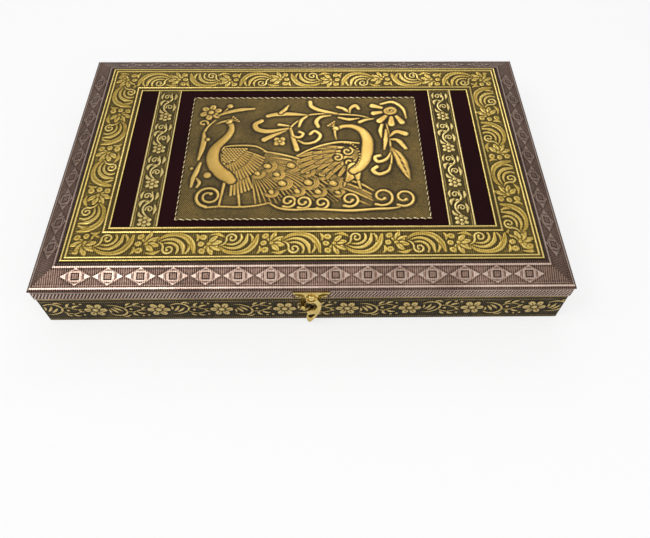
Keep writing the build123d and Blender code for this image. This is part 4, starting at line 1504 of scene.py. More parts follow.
@dataclass
class GoldStrips:
    """The two narrow gold strips across the velvet: a flower and a vine by turns."""

    units: int = 4
    rise: float = 0.5

    def unit(self, length: float, width: float) -> Canvas:
        """One flower with the vine that follows it."""
        tile = Canvas(0, 0, length, width)
        m = width / 2
        stem = [(7, m - 3.6), (13, m + 2.0), (19.4, m + 2.6), (26, m - 2.6), (33.6, m - 1.6)]
        tile.stroke(stem, (1.0, 1.8, 1.8, 1.8, 1.0), 0.5)
        tile.spiral(16.6, m - 1.8, 3.0, 110, -400, 1.5, 0.5)
        tile.spiral(29.6, m + 1.6, 3.0, -110, 400, 1.5, 0.5)
        for path, size in (
            (((8.6, m + 0.4), (10.6, m + 4.4), (14.6, m + 5.8)), 2.8),
            (((18.6, m + 5.6), (23.0, m + 5.4), (25.8, m + 1.6)), 3.0),
            (((21.4, m - 5.0), (16.4, m - 6.0), (11.0, m - 5.4)), 2.8),
            (((23.6, m - 1.6), (24.2, m + 0.6), (22.6, m + 2.6)), 1.8),
            (((33.6, m - 5.6), (29.0, m - 5.8), (25.4, m - 4.6)), 2.8),
            (((26.6, m + 5.8), (31.0, m + 5.9), (34.6, m + 4.4)), 2.4),
        ):
            tile.leaf(path, size, 0.5, 0.3)
        tile.flower(4.4, m, 5.6, 6, 0.0, 0.52)
        return tile

    def build(self) -> None:
        """Make both strips."""
        material = STRIP_GOLD.material()
        for hand in ("left", "right"):
            node = f"{hand}_gold_strip"
            low, high = extent(node)
            length, width = high[1] - low[1], high[0] - low[0]
            sheet = Canvas(0, 0, length, width)
            pitch = length / self.units
            tile = self.unit(pitch, width)
            for index in range(self.units):
                sheet.stamp(tile, index * pitch, 0)
            for place, line, tall in ((0.7, 1.3, 0.5), (2.3, 0.7, 0.3)):
                sheet.band(place, line, tall)
                sheet.band(width - place, line, tall)
            piece = FlatSheet(low, high, self.rise, sheet, lengthwise=True).build(f"chased_strip_{hand}")
            settle(piece, "lid", Slot.GOLD, material, node)


@dataclass
class PeacockPlaque:
    """The plaque on the velvet: two peacocks facing each other among vines, over a hatched ground."""

    rise: float = 0.58
    tall: float = 0.72
    moat: float = 0.5
    tallest: float = 0.95
    pressed: float = 0.72
    rope_drop: float = 0.72

    def bands(self, sheet: Canvas, rows: Sequence[tuple], height: float) -> None:
        """Raise flat-topped strokes of one height; a row has a stroke's points and its widths."""
        for points, widths in rows:
            sheet.stroke(points, widths, height, Profile.FLAT, self.moat)

    def plumage(
        self, sheet: Canvas, root: Point, turns: Point, rings: Sequence[tuple],
        profile: Profile = Profile.LEAF,
    ) -> None:
        """Raise rings of overlapping feathers that spread from a shoulder, the outermost first.

        Args:
            sheet: the canvas.
            root: the shoulder.
            turns: how far each feather bends on its way, and how high it stands.
            rings: each the near and far reach, the first and last direction in degrees, the count and width.
            profile: their shape across.
        """
        bend, height = turns
        for near, far, first, last, count, width in rings:
            for k in range(count):
                a = math.radians(first + (last - first) * k / (count - 1))
                path = [polar(*root, a + bend * t, near + (far - near) * t) for t in (0.0, 0.5, 1.0)]
                sheet.stroke(path, (width * 0.6, width, width * 0.75), height, profile, 0.4)

    def crest(self, sheet: Canvas, root: Point, tip: Point, step: Point) -> None:
        """Raise a crest of four beaded plumes from a root; the first tip and the step to the next."""
        for k in range(4):
            end = (tip[0] + k * step[0], tip[1] + k * step[1])
            sheet.line(root, end, 0.7, 0.5)
            sheet.bead(*end, 1.9, 0.62)

    def left_vine(self, sheet: Canvas) -> None:
        """The rose, buds and hanging leaves at the left edge, and the curl at the foot."""
        sheet.stroke([(19, 105), (14, 98), (11, 90), (10.6, 84)], (1.2, 1.8, 2.2, 2.4), 0.55)
        sheet.spiral(9.4, 101.4, 4.0, -10, 300, 2.0, 0.6)
        sheet.flower(14.6, 114.6, 9.6, 6, 0.35, self.tall)
        self.bands(sheet, (
            ([(20.5, 110.6), (29, 114.8), (39, 117.8), (50.6, 119.2)], (2.0, 4.4, 4.8, 2.0)),
            ([(11, 90), (12, 80), (11.2, 70), (9.6, 60)], (2.4, 5.2, 4.6, 2.0)),
            ([(11.6, 56), (9.6, 47), (7.8, 39.6), (7, 31)], (2.4, 4.4, 4.2, 1.6)),
            ([(10.4, 40), (13, 35.4), (11.6, 31)], (1.6, 3.0, 2.0)),
        ), 0.6)
        for x, y, size in ((30, 122.4, 5.6), (14.8, 82.4, 4.4), (18.4, 43.2, 6.6), (5.4, 50.4, 2.6)):
            sheet.bead(x, y, size, 0.62, moat=0.5)
        sheet.stroke([(25, 115), (28, 119)], (1.2, 1.8), 0.5)
        sheet.spiral(21.6, 21.6, 10.4, 262, -560, 2.6, 0.66)
        sheet.stroke([(20, 10.6), (31, 11.6), (45, 11), (58, 12.4), (68, 15)], (1.8, 1.6, 1.7, 1.6, 1.2), 0.5)

    def top_vine(self, sheet: Canvas) -> None:
        """The vine across the back: flat leaves with blunt ends, hooks and curls on one stem."""
        stem = [(150, 106), (138, 110.4), (122, 112), (108, 112.6), (95, 110.4), (86, 102), (80, 94)]
        sheet.stroke(stem, (1.4, 1.8, 2.2, 2.0, 2.0, 1.8, 2.2), 0.6, moat=0.4)
        self.bands(sheet, (
            ([(62.4, 110), (70, 112), (82, 112.4), (96, 111)], (4.4, 5.6, 4.4, 1.6)),
            ([(73, 113.6), (76.6, 118), (79.4, 123.4)], (4.6, 4.0, 1.4)),
            ([(97.6, 127.4), (99, 121.6), (107, 116.4), (121, 112.6)], (4.4, 4.6, 4.4, 1.8)),
            ([(121, 121), (126.4, 118.4), (132, 112.4)], (3.4, 4.0, 1.4)),
            ([(131, 113), (131.6, 119), (136, 122.6), (138.6, 119)], (1.4, 3.2, 4.6, 3.6)),
            ([(121.6, 108), (130, 105.6), (138.6, 107)], (2.4, 4.0, 1.4)),
            ([(139, 102.4), (144, 105), (150.6, 106.4)], (4.0, 3.6, 1.4)),
            ([(115, 110.6), (106.6, 108.6), (102.8, 103), (104.4, 97)], (1.6, 3.4, 4.4, 3.6)),
            ([(95, 109.6), (90.4, 104.6), (88.6, 97.4)], (2.4, 4.0, 2.6)),
            ([(81, 95.4), (72, 92.6), (62, 91.6), (54.6, 94), (52.4, 99.6), (57.4, 104)],
             (2.0, 4.4, 5.2, 5.4, 5.2, 4.6)),
            ([(78, 92.4), (69, 87.6), (60.6, 82)], (1.6, 4.2, 5.6)),
            ([(80, 98), (72, 99.6)], (2.0, 3.6)),
            ([(81.8, 94.6), (84, 84), (87.2, 70.6)], (2.6, 4.4, 5.0)),
            ([(82.6, 93), (84, 86.4), (89, 84.4), (92, 88.4), (89, 91)], (1.6, 2.6, 3.0, 3.0, 3.2)),
            ([(87.6, 81), (94, 77.4), (102, 79.6), (106, 86.4), (101.6, 91.6), (97.8, 88.4)],
             (1.8, 2.8, 3.2, 3.4, 3.6, 3.4)),
        ), 0.62)
        sheet.flower(73, 80, 5.8, 4, math.pi / 4, 0.6)

    def right_vine(self, sheet: Canvas) -> None:
        """The rose with loose petals, and the branch of leaves and curled buds below it."""
        stem = [(161, 100), (162, 88), (162.4, 76), (162.4, 62), (160.6, 51), (156.6, 45.6)]
        sheet.stroke(stem, (1.4, 1.8, 1.8, 2.0, 1.8, 2.0), 0.58, moat=0.4)
        self.bands(sheet, (
            ([(158, 124.6), (168, 127), (176, 119), (178, 107)], (2.6, 4.0, 3.4, 1.2)),
            ([(158, 120), (150.6, 122.4)], (3.6, 6.0)), ([(158.6, 114.6), (151, 113)], (3.4, 5.6)),
            ([(161, 109.4), (155.4, 103.6)], (4.0, 6.6)), ([(165.6, 107.6), (165, 100)], (4.4, 7.0)),
            ([(170, 109), (174, 102)], (3.8, 6.0)),
            ([(157, 99), (155.4, 92), (155.8, 84)], (3.4, 4.2, 1.4)),
            ([(160, 93), (159.2, 82), (157.2, 70.6)], (2.4, 5.0, 1.8)),
            ([(162, 85), (168.4, 90.6), (175.6, 88.4)], (2.0, 4.4, 6.0)),
            ([(162.2, 82), (169, 80.4), (174.4, 71.6)], (2.0, 5.0, 3.4)),
            ([(162.2, 67), (158, 59.6), (151.4, 57), (149, 61.6), (153, 63.6)], (1.6, 3.0, 3.6, 4.0, 3.6)),
            ([(161, 53.6), (158.6, 47), (151.4, 43.6), (146.8, 47.6), (150, 51.4)],
             (1.6, 3.0, 3.8, 4.2, 3.8)),
        ), 0.64)
        sheet.stroke([(164, 115.6), (166, 116.4)], (10.4, 10.8), self.tall, Profile.BOWL, 0.6)
        sheet.spiral(165.4, 116, 3.4, 40, 330, 1.6, self.tall)
        sheet.leaf([(162.6, 73), (168, 63), (171.4, 51), (175, 37)], 9.4, self.tall, 0.6)
        for k in range(5):
            y = 64 - k * 5.2
            sheet.line((168 + k * 0.9, y), (171.6 + k * 0.5, y - 3.0), 0.6, 0.86)

    def left_bird(self, sheet: Canvas) -> None:
        """The left peacock: a smooth neck, a feathered wing and the train that sweeps to the right."""
        for hip, foot in (((32.4, 38), (29.8, 12.4)), ((41.6, 38), (45.2, 12))):
            sheet.stroke([hip, foot], (2.8, 1.7), 0.55, moat=0.5)
            for toe in (-4.0, 3.8):
                sheet.stroke([foot, (foot[0] + toe, foot[1] - 1.6)], (1.4, 0.8), 0.45)
        self.train(sheet)
        self.plumage(sheet, (25, 71), (-0.16, 0.62), (
            (26, 50, -46, -66, 7, 2.6), (18, 38, -6, -62, 14, 2.5), (11, 27, 0, -66, 13, 2.2),
            (5, 18, 4, -70, 10, 2.0),
        ))
        self.scales(sheet, [(28, 72.6), (49, 73.4), (44, 66), (38, 58), (29.6, 54)], 2.5)
        shoulder = [(27.4, 69.6), (30, 74), (42, 75.4), (54, 74.4), (62.6, 69)]
        sheet.stroke(shoulder, (1.2, 1.9, 1.9, 1.6, 0.8), 0.78)
        neck = [
            (30.8, 102.6), (33.2, 97.4), (32.8, 91), (29.6, 84), (25.4, 78), (21.8, 71), (20.8, 62),
            (23.2, 53.4), (28.2, 46.4), (33.4, 41.6), (37, 37.6),
        ]
        sheet.stroke(neck, (4.6, 5.2, 6.2, 7.0, 8.0, 9.6, 10.6, 11.0, 11.4, 12.0, 9.0), 0.84, moat=0.8)
        sheet.bead(30.4, 103.4, 6.4, 0.8, moat=0.5)
        sheet.stroke([(27.8, 104), (24.4, 103), (20.6, 100.6)], (3.0, 2.2, 0.6), 0.6, moat=0.3)
        self.crest(sheet, (31.6, 105.2), (33.8, 109.4), (1.6, -1.9))

    def train(self, sheet: Canvas) -> None:
        """Long parallel barbs that fall to the ground, with the eyes of the feathers over them."""
        hem = smooth_path([(152, 13.6), (130, 24), (122, 17), (104, 15), (88, 14), (72, 14.6), (57, 14)], 1.0)
        count = 27
        for k in range(count):
            share = k / (count - 1)
            start = np.array([63 - 10 * share, 68 - 27 * share])
            end = hem[int(share * (len(hem) - 1))]
            bulge = np.array([8.0, 6.0]) * (1 - share) * math.sin(math.pi * (0.25 + 0.5 * (1 - share)))
            mid = start + (end - start) * 0.5 + bulge
            sheet.stroke([tuple(start), tuple(mid), tuple(end)], (0.9, 1.35, 1.3, 0.7), 0.42, moat=0.2)
        sheet.stroke([(61, 68.6), (75, 65), (89, 60), (102, 52)], (1.4, 2.4, 2.2, 1.0), 0.6, moat=0.4)
        sheet.stroke([(66, 62), (80, 59.6), (92, 55)], (1.2, 2.2, 1.0), 0.55, moat=0.4)
        for path in (
            [(116, 38), (134, 29.6), (152, 17.4)], [(113, 33.4), (131, 25.4), (149.6, 14.0)],
            [(110, 29), (127, 20.6), (143, 12.0)], [(122, 39.6), (137, 33.2), (150.6, 23.0)],
        ):
            sheet.stroke(path, (1.4, 2.3, 0.5), 0.56, Profile.LEAF, moat=0.5)
        for x, y, size, turn in (
            (57, 44.6, 5.4, -50), (64.4, 52.4, 6.6, -25), (83, 53, 7.4, -25), (95, 46.4, 6.0, -35),
            (72, 43.4, 5.6, -40), (76.4, 34.2, 7.0, -35), (96.4, 35, 7.4, -35), (115.6, 34, 7.0, -35),
            (107, 43.4, 5.6, -30), (88, 26, 5.4, -50), (104, 25.4, 5.8, -45), (68.4, 25.4, 5.2, -65),
            (119, 24.6, 4.6, -35),
        ):
            self.eye(sheet, x, y, size, turn)

    def eye(self, sheet: Canvas, x: float, y: float, size: float, turn: float) -> None:
        """One eye of the train: an oval boss in a ring, with barbs curving round its far side."""
        bearing = math.radians(turn)
        for step in (3, 2, 1):
            angles = [math.radians(turn + degrees) for degrees in (-105, -60, -15, 30, 75, 110)]
            arc = [polar(x, y, angle, size * (0.5 + 0.2 * step), 0.86) for angle in angles]
            sheet.stroke(arc, (0.5, 1.1, 1.2, 1.1, 0.5), 0.55, moat=0.3)
        sheet.stroke([polar(x, y, bearing, -0.9 * size), (x, y)], (0.8, size * 0.5), 0.5, moat=0.2)
        ring = [polar(x, y, bearing, reach) for reach in (-0.8, 0.8)]
        sheet.stroke(ring, (size * 0.8, size * 0.76), 0.72, Profile.BOWL, 0.5)
        sheet.bead(x, y, size * 0.42, 0.84)

    def scales(self, sheet: Canvas, region: Sequence[Point], size: float) -> None:
        """Rows of small overlapping scales inside a corner-pointed region."""
        p = np.array(region)
        low, high = p.min(axis=0), p.max(axis=0)
        row = 0
        y = high[1]
        while y > low[1]:
            x = low[0] + (row % 2) * size / 2
            while x < high[0]:
                if inside(p, x, y):
                    scale = [(x - size * 0.3, y + 0.3), (x + size * 0.2, y - 0.5)]
                    sheet.stroke(scale, (size * 0.7, size * 0.6), 0.8, moat=0.35)
                x += size
            y -= size * 0.72
            row += 1

    def right_bird(self, sheet: Canvas) -> None:
        """The right peacock: an arched neck, its head turned back over a wing of broad feathers."""
        for hip, foot in (((125.6, 38), (123.8, 31)), ((134.2, 40), (136.4, 28.4))):
            sheet.stroke([hip, foot], (3.4, 1.8), 0.6, moat=0.5)
        self.plumage(sheet, (139, 66), (0.12, 0.68), (
            (27, 51, 176, 196, 4, 5.0), (20, 38, 164, 216, 7, 4.4), (13, 30, 158, 236, 8, 4.0),
        ), Profile.BOWL)
        self.plumage(sheet, (139, 66), (0.2, 0.72), ((4, 20, 148, 246, 8, 3.6),))
        for x, y, size, start, sweep in (
            (127.4, 68.4, 4.8, 60, -380), (119.6, 61.4, 4.2, 100, -380), (128.6, 56.4, 4.2, 20, -360),
        ):
            sheet.bead(x, y, size * 2.1, 0.3, moat=0.4)
            sheet.spiral(x, y, size, start, sweep, 1.8, 0.78)
        shoulder = [(87.4, 63.4), (96, 69.6), (108, 75.4), (122, 78.8), (137, 77.6)]
        sheet.stroke(shoulder, (1.4, 2.2, 2.6, 2.6, 2.0), 0.78, moat=0.3)
        self.bands(sheet, (
            ([(132, 51), (130, 43), (126.4, 37)], (12.0, 10.0, 4.4)), ([(134, 48), (134.6, 39)], (8.0, 3.8)),
        ), 0.7)
        neck = [
            (119.4, 94), (125, 97.2), (133, 97), (140.4, 91.6), (144, 82), (143.6, 71), (141.4, 60.4),
            (137, 52), (131.6, 47),
        ]
        sheet.stroke(neck, (4.0, 4.6, 5.8, 8.0, 9.8, 10.4, 10.0, 9.0, 8.0), 0.84, moat=0.8)
        for k in range(13):
            a = math.radians(95 - k * 12.5)
            sheet.bead(126.6 + 10.6 * math.cos(a), 63.4 + 14.4 * math.sin(a), 1.7, 0.9, moat=0.3)
        sheet.bead(118.8, 94.6, 5.8, 0.8, moat=0.5)
        sheet.stroke([(118, 92), (118.2, 87), (119.2, 82)], (2.6, 1.8, 0.6), 0.6, moat=0.3)
        self.crest(sheet, (117.4, 96.6), (112.6, 98.2), (1.7, 1.6))

    def foot_scrolls(self, sheet: Canvas) -> None:
        """The row of wave curls that spring from one stem along the front edge."""
        for x, y, size, sweep in (
            (81.4, 16.6, 6.4, 470), (92.6, 15.6, 6.6, 470), (106.4, 14.6, 6.2, 450), (127.6, 18, 7.6, 460),
            (152.4, 20.8, 9.4, 430), (168.6, 19.8, 9.0, 430),
        ):
            sheet.stroke([(x, y), (x + 0.4, y)], (size * 1.7, size * 1.7), 0.12, Profile.FLAT, 0.4)
            sheet.spiral(x, y, size, 235, sweep, 2.5, 0.7)
        stem = [
            (68, 14), (75, 9.6), (86, 8), (98, 8.6), (111, 8), (128, 7), (146, 8.4), (158, 9), (165, 10.4),
        ]
        sheet.stroke(stem, (1.4, 2.2, 2.0, 2.2, 2.0, 2.6, 2.4, 2.6, 1.4), 0.64, moat=0.3)

    def build(self) -> None:
        """Make the plaque and the twisted rope round it."""
        low, high = extent("peacock_plaque")
        sheet = Canvas(0, 0, high[0] - low[0], high[1] - low[1], halo=1.5)
        for draw in (
            self.left_vine, self.top_vine, self.right_vine, self.left_bird, self.right_bird,
            self.foot_scrolls,
        ):
            draw(sheet)
        np.minimum(sheet.height, self.tallest, out=sheet.height)
        sheet.height *= self.pressed
        piece = FlatSheet(low, high, self.rise, sheet, cell=PLAQUE_CELL).build("chased_peacock_plaque")
        settle(piece, "lid", Slot.GOLD, PLAQUE_GOLD.material(), "peacock_plaque")
        rope_low, rope_high = extent("plaque_rope")
        (x0, y0, _), (x1, y1, _) = (rope_low + low) / 2, (rope_high + high) / 2
        z = rope_high[2] - self.rope_drop
        corners = np.array([(x0, y0, z), (x1, y0, z), (x1, y1, z), (x0, y1, z)])
        edging = TwistedEdging(strands=2, strand_width=0.78, lay_width=0.66, pitch=5.2, steps=9, sides=6)
        finish = ROPE_GOLD.material()
        rope = edging.around("plaque_twisted_rope", corners, finish)
        settle(rope, "lid", Slot.ROPE, finish, "plaque_rope")


# Cloth


@dataclass(frozen=True)
class ClothPanel:
    """One flat piece of velvet, with a face that is not quite level and edges that are tucked in."""

    name: str
    low: Sequence[float]
    high: Sequence[float]
    thin: int = 2
    outward: int = 1
    cell: float = 2.0
    sag: float = 0.05
    tuck: float = 0.16

    def build(self) -> Piece:
        """Make the closed panel."""
        low, high = np.array(self.low), np.array(self.high)
        u, v = [axis for axis in range(3) if axis != self.thin]
        us, vs = (np.linspace(low[w], high[w], max(2, int((high[w] - low[w]) / self.cell))) for w in (u, v))
        gu, gv = np.meshgrid(us, vs)
        ease = np.minimum.reduce([gu - low[u], high[u] - gu, gv - low[v], high[v] - gv])
        # Two slow swells crossed, with a smaller ripple over them.
        wave = np.sin(gu / 17.0 + 1.3) * np.sin(gv / 13.0 + 0.4) + 0.6 * np.sin(gu / 7.3 + gv / 9.1)
        drop = self.sag * (1 - wave / 1.6) + self.tuck * np.exp(-ease / 0.8)
        front, back = np.empty((*gu.shape, 3)), np.empty((2, len(us), 3))
        face, rear = (high, low) if self.outward > 0 else (low, high)
        front[..., u], front[..., v] = gu, gv
        front[..., self.thin] = face[self.thin] - self.outward * drop
        back[..., u], back[..., v], back[..., self.thin] = gu[[0, -1]], gv[[0, -1]], rear[self.thin]
        return shell(self.name, front, back, {})


@dataclass
class VelvetWork:
    """Every piece of velvet: the inlay on the lid, the linings and the dividers' cloth.
    """

    cloth: float = 0.6
    least_cut: float = 10.4

    def boxed(self, prefix: str, node: str) -> list[ClothPanel]:
        """Four panels round the inside of a wall, for a lining that is a ring."""
        low, high = extent(node)
        (x0, y0, z0), (x1, y1, z1) = low, high
        (a0, b0, _), (a1, b1, _) = low + self.cloth, high - self.cloth
        return [
            ClothPanel(f"{prefix}_front", (x0, y0, z0), (x1, b0, z1), 1, 1),
            ClothPanel(f"{prefix}_back", (x0, b1, z0), (x1, y1, z1), 1, -1),
            ClothPanel(f"{prefix}_left", (x0, b0, z0), (a0, b1, z1), 0, 1),
            ClothPanel(f"{prefix}_right", (a1, b0, z0), (x1, b1, z1), 0, -1),
        ]

    def build(self) -> None:
        """Make the cloth and dress the dividers in velvet."""
        material = MAROON_VELVET.material()
        for node, body, backing, panels in (
            ("velvet_inlay", "lid", "lid_board", [ClothPanel("lid_velvet", *extent("velvet_inlay"))]),
            ("tray_floor_lining", "base", "base_board",
             [ClothPanel("tray_floor_velvet", *extent("tray_floor_lining"))]),
            ("lid_lining", "lid", "lid_board",
             [ClothPanel("lid_ceiling_velvet", *extent("lid_lining"), outward=-1)]),
            ("tray_wall_lining", "base", "base_{side}_wall", self.boxed("tray_velvet", "tray_wall_lining")),
            ("lid_rim_lining", "lid", "lid_{side}_rail", self.boxed("lid_rim_velvet", "lid_rim_lining")),
        ):
            for panel in panels:
                piece = panel.build()
                settle(piece, body, Slot.VELVET, material, node)
        for node in ("long_divider", "left_cross_divider", "right_cross_divider"):
            dress(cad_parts[node], material)


# Latch, plain solids and studio


@dataclass
class HookLatch:
    """The winged plate on the lid's lip, its hook and rivet, and the peg on the base."""

    RIGHT = np.array([1.0, 0.0, 0.0])
    UP = np.array([0.0, 0.0, 1.0])
    FORWARD = np.array([0.0, -1.0, 0.0])

    plate_thick: float = 0.8
    plate_ease: float = 0.25
    hook_ease: float = 0.45
    eye_bore: float = 3.05
    eye_radius: float = 3.9
    leaf_sink: float = 0.6
    leaf_rise: float = 1.0
    boss_sink: float = 0.1
    boss_rise: float = 0.5

    def __post_init__(self) -> None:
        """Read the latch's place from the solids, and make its metal."""
        low, high = extent("hook_rivet")
        self.centre = ((low[0] + high[0]) / 2, (low[2] + high[2]) / 2)
        self.face = float(extent("latch_plate")[1][1])
        self.material = BRASS.material()

    def at(self, y: float, x: float = 0.0, z: float = 0.0) -> Array:
        """A point by the latch's centre, at a depth."""
        return np.array([self.centre[0] + x, y, self.centre[1] + z])

    def standing(self, mesh: Mesh, origin: Array) -> tuple[Mesh, Array]:
        """A flat mesh and its vertices once it stands on the front, facing forward."""
        return mesh, facing(mesh, origin, self.RIGHT, self.UP)

    def plate(self) -> None:
        """The plate: a boss with a wing at each side, a straight top and scalloped foot."""
        low, high = extent("latch_plate")
        half = (high[0] - low[0]) / 2
        top, foot = high[2] - self.centre[1], low[2] - self.centre[1]
        outline = [
            (-half, top), (0.0, top), (half, top), (half, top - 1.6), (half - 1.4, top - 3.4),
            (half * 0.62, foot + 3.6), (half * 0.44, foot + 0.8), (half * 0.2, foot + 0.1), (0.0, foot + 1.4),
        ]
        whole = [*outline, *((-x, y) for x, y in reversed(outline[3:-1]))]
        base = outline_solid([resampled(whole)], self.plate_thick, self.plate_ease)
        bar = turned([(0.45, 0.0), (0.7, 0.25), (0.7, 2 * half - 0.25), (0.45, 2 * half)], 16)
        bar_foot = self.at(self.face - 0.75, -half, top - 0.7)
        rings = ((4.9, 0.0), (4.9, 0.5), (4.5, 0.9), (3.9, 1.05), (3.4, 0.95), (2.6, 0.9), (0.05, 0.9))
        parts = [
            self.standing(base, self.at(self.face)),
            (bar, facing(bar, bar_foot, -self.FORWARD, self.UP)),
            self.standing(turned(rings, 36), self.at(self.face - 0.5)),
        ]
        rows = (4.4, 0.6, half - 1.2, top - 2.3, 2.7), (3.6, -3.2, half - 5.4, foot + 3.3, 2.1)
        seat = self.face - self.leaf_sink
        leaves = [self.boss(seat, row, self.leaf_rise, hand) for hand in (-1, 1) for row in rows]
        settle(gather("latch_wing_leaves", leaves), "lid", Slot.BRASS, AGED_BRASS.material())
        settle(gather("latch_wing_plate", parts), "lid", Slot.BRASS, self.material, "latch_plate")

    def boss(self, y: float, row: Sequence[float], rise: float, hand: int = 1) -> tuple[Mesh, Array]:
        """A long low boss on the latch.

        Args:
            y: depth of its foot.
            row: right of and above the rivet, where it starts and where it ends, and its width.
            rise: how far it stands out.
            hand: -1 to set it on the left instead.

        Returns:
            Its mesh and the places of its vertices.
        """
        x0, z0, x1, z1, width = row
        x0, x1 = hand * x0, hand * x1
        mesh, local = self.standing(turned(dome(1.0, 1.0)), np.zeros(3))
        way = np.array([x1 - x0, 0.0, z1 - z0])
        length = float(np.linalg.norm(way))
        way /= length
        across = np.cross(way, self.FORWARD)
        middle = self.at(y, (x0 + x1) / 2, (z0 + z1) / 2)
        stand = local @ self.FORWARD
        places = middle + local[:, :1] * way * length / 2 + local[:, 2:] * across * width / 2
        return mesh, places + stand[:, None] * self.FORWARD * rise

    def hook(self) -> None:
        """The hook: a ring at the eye, a bowed arm and a mouth that faces the peg."""
        low, high = extent("swing_hook")
        ring = [polar(0.0, 0.0, math.radians(250 - 205 * k / 14), self.eye_radius) for k in range(1, 14)]
        arm = [
            (2.4, 2.6), (4.6, -0.6), (7.0, -5.5), (7.2, -10.0), (6.6, -14.0), (5.4, -18.4), (3.7, -22.5),
            (1.6, -27.0), (-0.6, -30.6), (-2.4, -31.0), (-3.2, -29.2), (-3.7, -26.6), (-4.0, -24.0),
            (-3.6, -21.2), (-2.6, -19.2), (-3.4, -18.3), (-3.6, -17.6), (-2.9, -15.6), (-0.6, -14.6),
            (1.6, -14.6), (3.4, -12.6), (4.0, -9.8), (3.6, -7.4), (2.6, -5.2), (0.9, -3.7), (-1.0, -3.2),
        ]
        slot = (
            (-2.2, -20.8), (-2.6, -22.6), (-2.0, -24.4), (-0.9, -25.6), (0.5, -24.2), (1.9, -21.9),
            (2.6, -19.7), (1.4, -19.5), (-0.4, -20.1),
        )
        outlines = [resampled([*ring, *arm]), resampled(slot), circle(self.eye_bore, 30)[::-1]]
        solid = outline_solid(outlines, high[1] - low[1], self.hook_ease)
        floor = turned([(3.2, 0.0), (3.2, 0.35), (0.05, 0.35)], 30)
        parts = [self.standing(solid, self.at(high[1])), self.standing(floor, self.at(high[1] - 0.1))]
        for row in (
            (5.6, -4.4, 6.0, -8.2, 1.5), (5.5, -9.4, 5.0, -13.0, 2.0), (3.9, -14.2, 1.6, -16.8, 2.2),
            (0.6, -17.0, -1.8, -18.0, 1.8), (3.4, -19.6, 1.0, -26.2, 1.3), (-3.0, -21.0, -2.6, -27.4, 1.1),
        ):
            parts.append(self.boss(low[1] + self.boss_sink, row, self.boss_rise))
        settle(gather("latch_hook", parts), "hook", Slot.BRASS, self.material, "swing_hook")

    def rivet(self) -> None:
        """The rivet that the hook turns on, with a domed head."""
        low, high = extent("hook_rivet")
        neck = high[1] - low[1] - 1.2
        shank = self.standing(turned([(1.2, 0.0), (1.2, neck), *dome(2.2, 1.0, neck)]), self.at(high[1]))
        settle(gather("latch_rivet", [shank]), "lid", Slot.BRASS, self.material, "hook_rivet")

    def peg(self) -> None:
        """The peg on the base, with a collar and a domed end."""
        low, high = extent("keeper_peg")
        x, z, reach = (low[0] + high[0]) / 2, (low[2] + high[2]) / 2, high[1] - low[1]
        r = (high[0] - low[0]) / 2
        collar = [(r * 0.92, 0.0), (r * 0.92, reach - 1.9), (r, reach - 1.5), (r, reach - 0.9)]
        peg = self.standing(turned([*collar, *dome(r * 0.94, 0.7, reach - 0.75)]), np.array([x, high[1], z]))
        settle(gather("latch_peg", [peg]), "base", Slot.BRASS, self.material, "keeper_peg")

    def nails(self) -> None:
        """The plate's two domed nails, in a row."""
        low, high = extent("latch_plate_nails")
        r = (high[2] - low[2]) / 2
        reach = high[1] - low[1]
        head = [(r * 0.5, 0.0), (r * 0.5, reach - 0.7), (r, reach - 0.65), (r, reach - 0.45)]
        nail = turned([*head, *dome(r * 0.96, 0.42, reach - 0.43)], 20)
        stud = gather("stud", [self.standing(nail, np.zeros(3))])
        first = np.array([low[0] + r, high[1], (low[2] + high[2]) / 2])
        step = np.array([high[0] - low[0] - 2 * r, 0.0, 0.0])
        row = StudRow().along("latch_nails", stud, first, step, 2, self.material)
        settle(row, "lid", Slot.BRASS, self.material, "latch_plate_nails")

    def build(self) -> None:
        """Make the latch."""
        for make in (self.plate, self.hook, self.rivet, self.peg, self.nails):
            make()


class PlainSolids:
    """The solids that show as they are: boards, hinge leaves, pins and nails."""

    def build(self) -> None:
        """Dress them."""
        stained = ["lid_board"]
        for side in SIDES:
            stained += [f"base_{side.name}_wall", f"lid_{side.name}_rail", f"lid_{side.name}_bevel"]
        brass = ["base_hinge_nails", "lid_hinge_nails"]
        for hand in ("left", "right"):
            brass += [f"{hand}_hinge_base_leaf", f"{hand}_hinge_lid_leaf", f"{hand}_hinge_pin"]
        for finish, names in ((BOARD, ["base_board"]), (DARK_BOARD, stained), (HINGE_BRASS, brass)):
            material = finish.material()
            for name in names:
                dress(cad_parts[name], material)


@dataclass(frozen=True)
class Lamp:
    """A square lamp: its place and size in metres, and its power in watts."""

    name: str
    place: Place
    power: float
    size: float


WHITE = (1.0, 1.0, 1.0)


